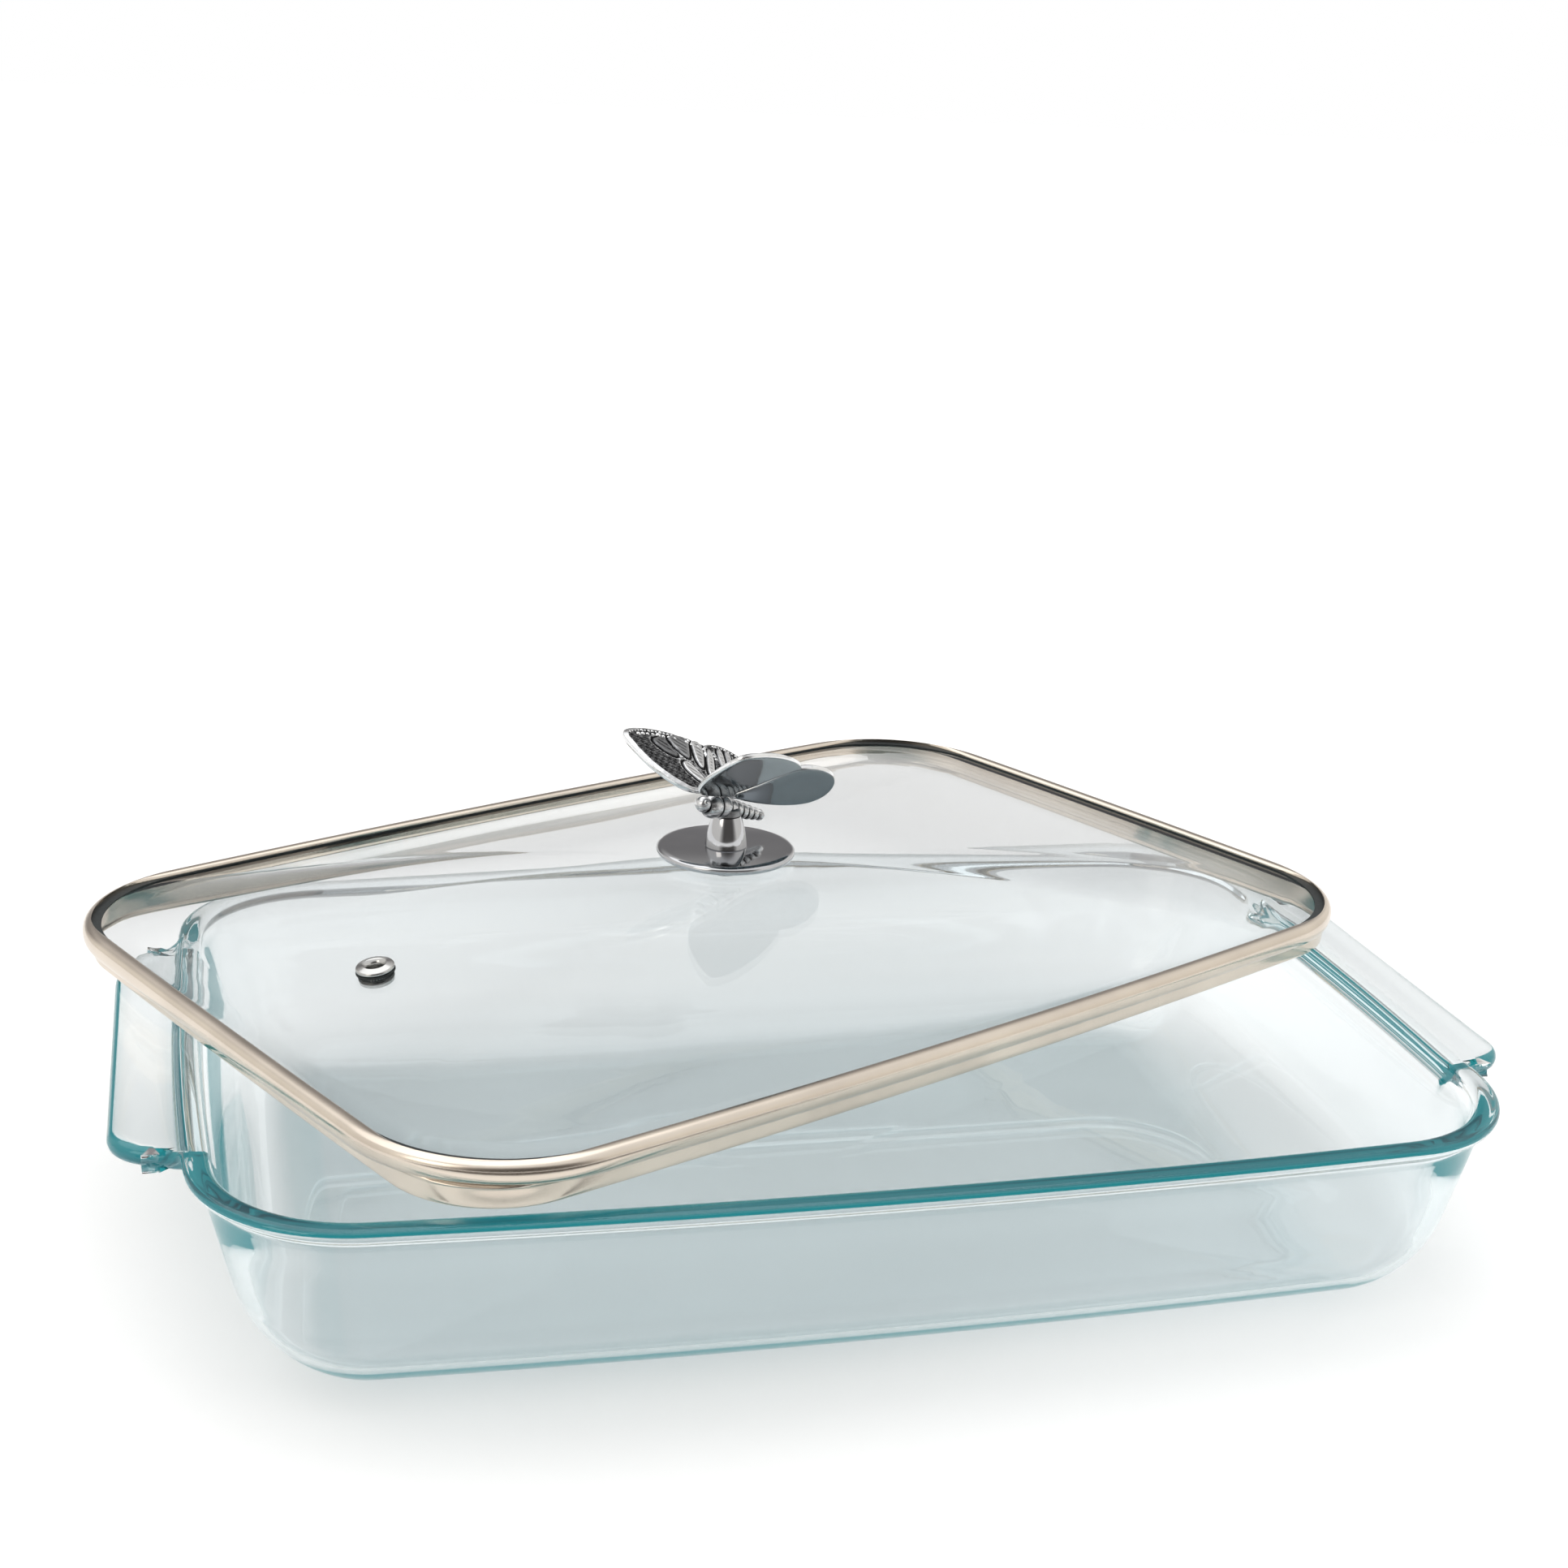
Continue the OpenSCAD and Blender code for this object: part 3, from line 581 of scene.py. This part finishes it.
HOLE = (SCREW_D + 1) / 2
flat_ring("upper_silicone_pad", UPPER_PAD_D / 2, HOLE, DOME_TOP, PAD_T, SILICONE, "upper_pad")
flat_ring("lower_silicone_pad", PAD_D / 2, HOLE, DOME_TOP - PANE_T - PAD_T, PAD_T, SILICONE,
          "lower_pad")
flat_ring("screw_backing_washer", PAD_D / 2 - 0.5, HOLE - 0.2, HEAD_Z, WASHER_T, SCREW_STEEL,
          "screw_washer")

r = DISC_D / 2
disc = [(HOLE, 0), (r - 1.1, 0), (r - 0.5, 0.25), (r - 0.1, 0.8), (r, 1.35), (r - 0.12, 1.85), (r - 0.5, 2.25),
        (r - 1.1, 2.48), (r - 2.0, DISC_T), (HOLE, DISC_T)]
verts, faces = lathe([(a, b + DISC_Z) for a, b in disc], 160)
piece("base_disc", verts, faces, KNOB_METAL, "lid", AT_KNOB, 35.0, "knob_disc")

foot, top, bore = STEM_FOOT / 2, STEM_TOP / 2, SCREW_D / 2 + 0.05
deep = SCREW_LEN + HEAD_Z - STEM_Z + 0.6
stem = [(bore, 0), (foot - 0.25, 0)]
stem += [(top + (foot - top) * (1 - u ** 1.6), STEM_H * u) for u in np.linspace(0.03, 1, 14)]
stem += [(0, STEM_H), (0, deep), (bore, deep)]
verts, faces = lathe([(a, b + STEM_Z) for a, b in stem], 128)
piece("bell_stem", verts, faces, KNOB_METAL, "lid", AT_KNOB, 35.0, "knob_stem")

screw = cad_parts["knob_screw"]
screw.data.materials.clear()
screw.data.materials.append(SCREW_STEEL)

# ---- the cast butterfly: u runs out along a wing, v towards the head, both from the wing's root ----

BODY_FRONT = 0.42          # share of the body that lies ahead of the wings' root
WING_POINTS, TOP_RINGS = 220, 66                       # points round a wing, rings over its upper face

FORE = [(0, -0.13), (0, 0.43), (0.07, 0.58), (0.22, 0.69), (0.41, 0.77), (0.61, 0.8), (0.8, 0.81), (0.92, 0.78),
        (0.98, 0.67), (1, 0.49), (0.98, 0.29), (0.93, 0.09), (0.86, -0.08), (0.77, -0.24), (0.64, -0.33),
        (0.51, -0.31), (0.21, -0.2)]
HIND = [(0, 0.1), (0.27, -0.05), (0.56, -0.13), (0.72, -0.2), (0.8, -0.34), (0.82, -0.52), (0.77, -0.7),
        (0.67, -0.84), (0.52, -0.94), (0.33, -0.98), (0.14, -0.88), (0.01, -0.5)]

# raised cells between the veins, in mm, each with how black its own face is left
FORE_CELLS = [
    (0.0, [(13, 9.7), (14.7, 7.6), (13.6, 5.6), (9, 5.1), (3.2, 5.2), (2.2, 7.6), (6, 9.4), (9.7, 10.4)]),
    (0.3, [(26.2, 6.6), (27.2, 3.4), (26.2, -1.6), (24, -2), (19, 1.4), (14.8, 4.4), (16.5, 6), (22, 7)]),
    (0.08, [(24.8, -3.2), (24, -6), (21.6, -6.4), (16.2, -3), (9.6, 2.2), (12.4, 3), (18.2, 0.6)]),
    (0.0, [(21, -7.4), (19.8, -8.8), (16.2, -7.4), (9.4, -2.5), (5, 1.8), (7.8, 2), (13.8, -2)]),
    (0.4, [(24.5, 14.5), (26, 10.5), (25.5, 8), (20.5, 8.2), (16, 8), (16.4, 11.5), (20.5, 14)])]
HIND_CELLS = [
    (0.05, [(23.2, -14.2), (22.6, -16.2), (17.6, -14.2), (9, -8.2), (12, -8), (18.6, -11)]),
    (0.1, [(23, -18), (21.8, -20), (17.4, -17.8), (8.6, -10.4), (12, -11), (18, -15)]),
    (0.08, [(20.4, -21.6), (18.6, -22.8), (14.6, -20), (7.6, -12.4), (10, -13), (15.4, -18)]),
    (0.15, [(16.4, -24), (14, -24.8), (10.6, -22), (5.4, -13.6), (7.6, -15), (12, -20.6)]),
    (0.15, [(10.6, -24.8), (8, -24), (5.6, -20.6), (3.4, -13), (5, -16), (8, -21.8)])]


def resampled(points, count):
    """count points evenly spaced along a closed line."""
    p = np.vstack([points, points[:1]])
    run = np.concatenate([[0], np.cumsum(np.linalg.norm(np.diff(p, axis=0), axis=1))])
    at = np.linspace(0, run[-1], count + 1)[:-1]
    return np.column_stack([np.interp(at, run, p[:, k]) for k in (0, 1)])


def inside_by(points, line):
    """How far each point lies inside a closed line; negative outside."""
    a, b = line, np.roll(line, -1, axis=0)
    best = np.full(len(points), 1e9)
    crossed = np.zeros(len(points), bool)
    for (ax, ay), (bx, by) in zip(a, b):
        ex, ey = bx - ax, by - ay
        px, py = points[:, 0] - ax, points[:, 1] - ay
        h = np.clip((px * ex + py * ey) / max(ex * ex + ey * ey, 1e-12), 0, 1)
        best = np.minimum(best, np.hypot(px - h * ex, py - h * ey))
        if ay != by:
            crossed ^= ((ay > points[:, 1]) != (by > points[:, 1])) & (px < ex * py / ey)
    return np.where(crossed, best, -best)


def ease(x, low, high):
    x = np.clip((x - low) / (high - low), 0, 1)
    return x * x * (3 - 2 * x)


def wing_mesh(shape, cells, centre, bevel_from):
    """One wing, flat along u and v: smooth below, with bevelled edge, cells and veins on top."""
    line = resampled(rounded(np.array(shape) * WING_REACH, 3), WING_POINTS)
    middle = np.array(centre, float)
    top_steps = 1 - (1 - np.linspace(0.02, 1, TOP_RINGS)) ** 1.15
    rings, black, glossy = [], [], []
    half = WING_T / 2
    for k in np.linspace(0.05, 0.96, 12):                  # underside, a little hollow towards the rim
        uv = middle + (line - middle) * k
        rings.append(at_height(uv, -half * (0.82 + 0.18 * k ** 6)))
        black.append(np.full(len(line), 0.0))
        glossy.append(np.ones(len(line)))
    for out, z, shine in ((0.35, -half, 1), (0.1, -0.75 * half, 0), (0, -0.3 * half, 0), (0, 0.3 * half, 0)):
        rings.append(at_height(line + (middle - line) * (out / 14), z))
        black.append(np.zeros(len(line)))
        glossy.append(np.full(len(line), float(shine)))
    for k in top_steps[::-1]:
        uv = middle + (line - middle) * k
        deep = inside_by(uv, line)
        front = ease(uv[:, 1] - bevel_from, -1.5, 1.5) * ease(uv[:, 0], 0, 3)
        wide = 0.6 + 0.7 * front                           # the leading edge has a broad polished bevel
        z = half - 0.9 * (1 - ease(deep, -0.2, wide + 0.5)) - 0.45 * ease(deep, wide, wide + 0.4)
        dark = 0.12 + 0.46 * ease(deep, wide, wide + 0.35)
        near = np.full(len(uv), -9.0)
        for face_black, cell in cells:
            cut = inside_by(uv, resampled(rounded(cell, 2), 48))
            near = np.maximum(near, cut)
            pad = ease(cut, 0.0, 0.55)
            z += 0.42 * pad
            dark = dark * (1 - pad) + face_black * pad
            rib = ease(cut, 0.9, 1.5) * (0.5 + 0.5 * np.sin(uv[:, 0] * 2.1 - uv[:, 1] * 2.6))
            z -= 0.1 * rib
            dark += 0.22 * rib * pad
        groove = ease(near, -0.75, -0.25) * (1 - ease(near, -0.05, 0.25))
        dark = np.maximum(dark, groove)
        z -= 0.3 * groove
        vein = ease(near, -1.4, -1.0) * (1 - ease(near, -0.95, -0.6))
        dark -= 0.45 * vein * ease(deep, 2.5, 3.5)
        grain = (np.sin(uv[:, 0] * 4.7 + 2 * np.sin(uv[:, 1] * 3.1))
                 * np.sin(uv[:, 1] * 5.3 + 2 * np.sin(uv[:, 0] * 2.3)))
        rough_ground = ease(deep, wide + 0.2, wide + 0.8) * (1 - ease(near, -0.9, -0.3))
        z += 0.12 * grain * rough_ground
        dark += 0.3 * grain * rough_ground
        rings.append(at_height(uv, np.minimum(z, half)))
        black.append(np.clip(dark, 0, 1))
        glossy.append(np.zeros(len(line)))
    verts, faces = skin(rings)
    black = np.concatenate(black + [[black[0].mean(), black[-1].mean()]])
    glossy = np.concatenate(glossy + [[1.0, 0.0]])
    return verts, faces, black, glossy, line


def chain(rings_at, steps=40):
    """Round body along v: (v, height, radius, black) of each ring."""
    t = np.linspace(0, 2 * math.pi, steps, endpoint=False)
    rings = [np.column_stack([r * np.cos(t), np.full(steps, v), h + r * np.sin(t)]) for v, h, r, _ in rings_at]
    verts, faces = skin(rings)
    shade = np.concatenate([np.full(steps, b) for *_, b in rings_at] + [[0.3, 0.3]])
    return verts, faces, shade


def body_rings():
    """Head, two thorax lobes and the ringed abdomen, with blackened grooves between them."""
    front = BODY_FRONT * FLY_LEN
    lobes = [(front - 2.5, 0.6, 2.5), (front - 6.6, 0, 3.75), (front - 10.4, 0, 3.75)]
    lobes += [(2 - i * (FLY_LEN - front) / 6.6, -0.4 * i, 3.3 - 0.25 * i) for i in range(1, 7)]
    first, last = lobes[0], lobes[-1]
    out = []
    for v in np.linspace(first[0] + first[2] - 0.02, last[0] - last[2] + 0.02, 120):
        reach = [(math.sqrt(max(r * r - (v - c) ** 2, 0)), h) for c, h, r in lobes]
        r, h = max(reach)
        second = sorted(reach)[-2][0]
        out.append((v, h, max(r, 0.15), 0.15 + 0.75 * max(0, 1 - (r - second) / 0.5) * (second > 0)))
    return out


def pearl_row(line, shift, first, last, pitch):
    """Open polyline of points along part of a wing's edge, moved in by shift, one every pitch mm."""
    tangent = np.roll(line, -1, axis=0) - np.roll(line, 1, axis=0)
    tangent /= np.linalg.norm(tangent, axis=1)[:, None]
    side = np.column_stack([tangent[:, 1], -tangent[:, 0]])
    if inside_by(line[:1] + side[:1] * 0.5, line)[0] < 0:
        side = -side
    moved = (line + side * shift)[int(first * len(line)):int(last * len(line))]
    run = np.concatenate([[0], np.cumsum(np.linalg.norm(np.diff(moved, axis=0), axis=1))])
    at = np.arange(0, run[-1], pitch)
    return np.column_stack([np.interp(at, run, moved[:, k]) for k in (0, 1)])


def pearls(points, radius, squash):
    """Half-sunk cast beads, one on each point, set out by a node group and made real."""
    mesh = bpy.data.meshes.new("pearl_seats")
    mesh.from_pydata([tuple(p) for p in points], [], [])
    obj = bpy.data.objects.new("pearl_seats", mesh)
    bpy.context.scene.collection.objects.link(obj)
    group = bpy.data.node_groups.new("pearl setting", "GeometryNodeTree")
    face = group.interface
    face.new_socket("Seats", in_out="INPUT", socket_type="NodeSocketGeometry")
    size_in = face.new_socket("Pearl radius", in_out="INPUT", socket_type="NodeSocketFloat")
    flat_in = face.new_socket("Squash", in_out="INPUT", socket_type="NodeSocketFloat")
    spread_in = face.new_socket("Size spread", in_out="INPUT", socket_type="NodeSocketFloat")
    size_in.default_value = radius
    flat_in.default_value = squash
    spread_in.default_value = 0.22
    face.new_socket("Pearls", in_out="OUTPUT", socket_type="NodeSocketGeometry")
    start = group.nodes.new("NodeGroupInput")
    bead = add(group, "GeometryNodeMeshUVSphere", {"Segments": 10, "Rings": 6},
               Radius=start.outputs["Pearl radius"])
    low = add(group, "ShaderNodeMath", {"operation": "SUBTRACT", 0: 1.0})
    high = add(group, "ShaderNodeMath", {"operation": "ADD", 0: 1.0})
    for node in (low, high):
        group.links.new(start.outputs["Size spread"], node.inputs[1])
    size = add(group, "FunctionNodeRandomValue", {"data_type": "FLOAT", "Seed": 7})
    group.links.new(low.outputs[0], size.inputs[2])
    group.links.new(high.outputs[0], size.inputs[3])
    tall = add(group, "ShaderNodeMath", {"operation": "MULTIPLY"})
    group.links.new(size.outputs[1], tall.inputs[0])
    group.links.new(start.outputs["Squash"], tall.inputs[1])
    scale = add(group, "ShaderNodeCombineXYZ", X=size.outputs[1], Y=size.outputs[1], Z=tall.outputs[0])
    placed = add(group, "GeometryNodeInstanceOnPoints", Points=start.outputs["Seats"],
                 Instance=bead.outputs["Mesh"], Scale=scale.outputs[0])
    real = add(group, "GeometryNodeRealizeInstances", Geometry=placed.outputs["Instances"])
    skinned = add(group, "GeometryNodeSetMaterial", {"Material": CASTING},
                  Geometry=real.outputs["Geometry"])
    end = group.nodes.new("NodeGroupOutput")
    group.links.new(skinned.outputs["Geometry"], end.inputs["Pearls"])
    obj.modifiers.new("pearls", "NODES").node_group = group
    bpy.context.view_layer.update()
    made = bpy.data.meshes.new_from_object(obj.evaluated_get(bpy.context.evaluated_depsgraph_get()))
    verts = np.array([v.co for v in made.vertices])
    faces = [tuple(f.vertices) for f in made.polygons]
    bpy.data.objects.remove(obj)
    return verts, faces


def cast_butterfly():
    """All parts of the casting in the body's own frame, with their blackening and shine."""
    parts = []
    fore = wing_mesh(FORE, FORE_CELLS, (13.5, 7), 15.5)
    hind = wing_mesh(HIND, HIND_CELLS, (13, -14), 90)
    for (verts, faces, black, glossy, line), lift, droop, raise_by, rows in (
            (fore, WING_LIFT, 0, WING_RAISE, ((1.5, 0.42, 0.8, 1.5, 0.55), (3.2, 0.45, 0.74, 2.1, 0.8))),
            (hind, WING_LIFT + HIND_LIFT, HIND_DROOP, WING_RAISE - 0.8, ((1.4, 0.3, 0.86, 1.5, 0.55),))):
        beads = [(verts, faces, black, glossy)]
        for shift, first, last, pitch, radius in rows:
            seats = pearl_row(line, shift, first, last, pitch)
            v, f = pearls(at_height(seats, 0.45), radius, 0.9)
            beads.append((v, f, np.full(len(v), 0.05), np.zeros(len(v))))
        tilt = (Matrix.Translation((0, 0, raise_by)) @ Matrix.Rotation(math.radians(-lift), 4, "Y")
                @ Matrix.Rotation(math.radians(droop), 4, "X"))
        for v, f, dark, shine in beads:
            placed = moved_by(tilt @ Matrix.Translation((WING_ROOT, 0, 0)), v)
            parts.append((placed, f, dark, shine))
            parts.append((placed * (-1, 1, 1), [tuple(reversed(face)) for face in f], dark, shine))
    v, f, dark = chain(body_rings())
    parts.append((v, [tuple(reversed(face)) for face in f], dark, np.zeros(len(v))))
    for side in (-1, 1):                                   # eyes
        v, f = lathe([(0.0, -1.0), (0.6, -0.8), (0.95, -0.3), (0.95, 0.3), (0.6, 0.8), (0.0, 1.0)], 20)
        seat = (side * 1.7, BODY_FRONT * FLY_LEN - 1.9, 1.2)
        parts.append((np.asarray(v) + seat, f, np.full(len(v), 0.1), np.zeros(len(v))))
    return parts


SADDLE = Matrix.Translation((0, 0, FLY_Z)) @ Matrix.Rotation(math.radians(FLY_TURN), 4, "Z")
POISE = (Matrix.Translation((0, 0, FLY_LIFT)) @ Matrix.Rotation(math.radians(FLY_ROLL), 4, "Y")
         @ Matrix.Rotation(math.radians(FLY_PITCH), 4, "X"))
verts, faces, black, glossy, count = [], [], [], [], 0
for v, f, dark, shine in cast_butterfly():
    verts.append(moved_by(POISE, v))
    faces += [tuple(i + count for i in face) for face in f]
    black.append(dark)
    glossy.append(shine)
    count += len(v)
top = STEM_TOP / 2
v, f = lathe([(0, 0.02), (top - 0.4, 0.02), (top - 0.1, 0.3), (top - 0.3, 1.0), (top - 0.1, 1.7),
              (top - 0.8, FLY_LIFT - 0.2), (0, FLY_LIFT)], 48)                # collar between stem and body
verts.append(np.asarray(v))
faces += [tuple(i + count for i in face) for face in f]
black.append(np.full(len(v), 0.35))
glossy.append(np.zeros(len(v)))
casting = piece("cast_butterfly", np.vstack(verts), faces, CASTING, "lid",
                AT_KNOB @ SADDLE, 60.0, "butterfly")
for label, values in (("recess", black), ("mirror", glossy)):
    layer = casting.data.attributes.new(label, "FLOAT", "POINT")
    layer.data.foreach_set("value", np.concatenate(values).astype(np.float32))

# ---- camera, light and floor ----

CAMERA_AT = (-0.17021, -0.59655, 0.32337)              # metres
HEADING, TILT_DOWN, ROLL = -15.055, 17.642, 2.832      # degrees
camera = bpy.data.objects.new("camera", bpy.data.cameras.new("camera"))
camera.data.lens = 52.77
camera.data.sensor_width = 36.0
camera.data.clip_start, camera.data.clip_end = 0.01, 60.0
aim = Matrix.Rotation(math.radians(HEADING), 4, "Z") @ Matrix.Rotation(math.radians(90 - TILT_DOWN), 4, "X")
camera.matrix_world = Matrix.Translation(CAMERA_AT) @ aim @ Matrix.Rotation(math.radians(ROLL), 4, "Z")
bpy.context.scene.collection.objects.link(camera)
bpy.context.scene.camera = camera


def sheet(name, x0, y0, x1, y1, z, material):
    """A flat rectangle of the studio, in metres."""
    mesh = bpy.data.meshes.new(name)
    mesh.from_pydata([(x0, y0, z), (x1, y0, z), (x1, y1, z), (x0, y1, z)], [], [(0, 1, 2, 3)])
    mesh.materials.append(material)
    obj = bpy.data.objects.new(name, mesh)
    bpy.context.scene.collection.objects.link(obj)


paper, tree = new_material("white paper sweep")
shader = add(tree, "ShaderNodeBsdfDiffuse", {"Color": (0.86, 0.86, 0.86, 1)})
fill = add(tree, "ShaderNodeEmission", {"Color": (1, 1, 1, 1), "Strength": 0.20})
lit = add(tree, "ShaderNodeAddShader")
tree.links.new(shader.outputs[0], lit.inputs[0])
tree.links.new(fill.outputs[0], lit.inputs[1])
add(tree, "ShaderNodeOutputMaterial", Surface=lit.outputs[0])
sheet("studio_floor", -12.0, -12.0, 12.0, 12.0, -0.0002, paper)

# black flag on the table in front: it gives the steel and glass their dark reflections; the camera
# here doesn't see it, but views from behind do
felt, tree = new_material("black felt")
shader = add(tree, "ShaderNodeBsdfDiffuse", {"Color": srgb("#4A4643")})
add(tree, "ShaderNodeOutputMaterial", Surface=shader.outputs[0])
sheet("black_flag", -0.7, -0.95, 0.5, -0.27, 0.001, felt)


def softbox(name, at, aim, width, height, power, colour):
    """A rectangular area light at one point that faces another; metres and watts."""
    light = bpy.data.lights.new(name, "AREA")
    light.shape, light.size, light.size_y = "RECTANGLE", width, height
    light.energy, light.color = power, srgb(colour)[:3]
    obj = bpy.data.objects.new(name, light)
    direction = Vector(at) - Vector(aim)
    obj.matrix_world = Matrix.Translation(at) @ direction.to_track_quat("Z", "Y").to_matrix().to_4x4()
    bpy.context.scene.collection.objects.link(obj)


sun = bpy.data.lights.new("ceiling_light", "SUN")
sun.energy, sun.angle = 0.9, math.radians(70)
sun_obj = bpy.data.objects.new("ceiling_light", sun)
sun_obj.rotation_euler = (math.radians(-14), math.radians(-10), 0)
bpy.context.scene.collection.objects.link(sun_obj)
softbox("front_left_softbox", (-1.3, -0.9, 0.9), (0, 0, 0.05), 0.8, 0.8, 3.0, "#FFF6EA")

# the room: bright walls on both sides, grey behind, dark towards the front; the backdrop itself reads as white
world = bpy.data.worlds.new("studio")
bpy.context.scene.world = world
world.use_nodes = True
tree = world.node_tree
tree.nodes.clear()
way = add(tree, "ShaderNodeTexCoord").outputs["Generated"]
height = add(tree, "ShaderNodeSeparateXYZ", Vector=way)
sky = ramp(tree, height.outputs["Z"], [
    (0.0, "#DAD9D8"), (0.14, "#B4B2B1"), (0.24, "#8A8889"), (0.38, "#8C8A8A"),
    (0.55, "#D2D0CE"), (0.8, "#FFFFFF")])
walls = ramp(tree, height.outputs["Z"], [(0.0, "#F4F1EC"), (0.5, "#FFFDF9"), (0.8, "#FFFFFF")])
aside = add(tree, "ShaderNodeMath", {"operation": "ABSOLUTE"})
tree.links.new(height.outputs["X"], aside.inputs[0])
to_side = add(tree, "ShaderNodeMapRange", {"From Min": 0.45, "From Max": 0.7}, Value=aside.outputs[0])
sides = add(tree, "ShaderNodeMix", {"data_type": "RGBA"})
tree.links.new(to_side.outputs["Result"], sides.inputs[0])
tree.links.new(sky, sides.inputs[6])
tree.links.new(walls, sides.inputs[7])
to_front = add(tree, "ShaderNodeMapRange", {"From Min": -0.6, "From Max": -0.9}, Value=height.outputs["Y"])
around = add(tree, "ShaderNodeMix", {"data_type": "RGBA"})
tree.links.new(to_front.outputs["Result"], around.inputs[0])
tree.links.new(sides.outputs[2], around.inputs[6])
around.inputs[7].default_value = srgb("#5F5C5A")
room = add(tree, "ShaderNodeBackground", {"Strength": 1.0}, Color=around.outputs[2])
white = add(tree, "ShaderNodeBackground", {"Color": (1, 1, 1, 1), "Strength": 1.0})
rays = add(tree, "ShaderNodeLightPath")
both = add(tree, "ShaderNodeMixShader")
tree.links.new(rays.outputs["Is Camera Ray"], both.inputs[0])
tree.links.new(room.outputs[0], both.inputs[1])
tree.links.new(white.outputs[0], both.inputs[2])
add(tree, "ShaderNodeOutputWorld", Surface=both.outputs[0])
bpy.context.scene.view_settings.view_transform = "Standard"
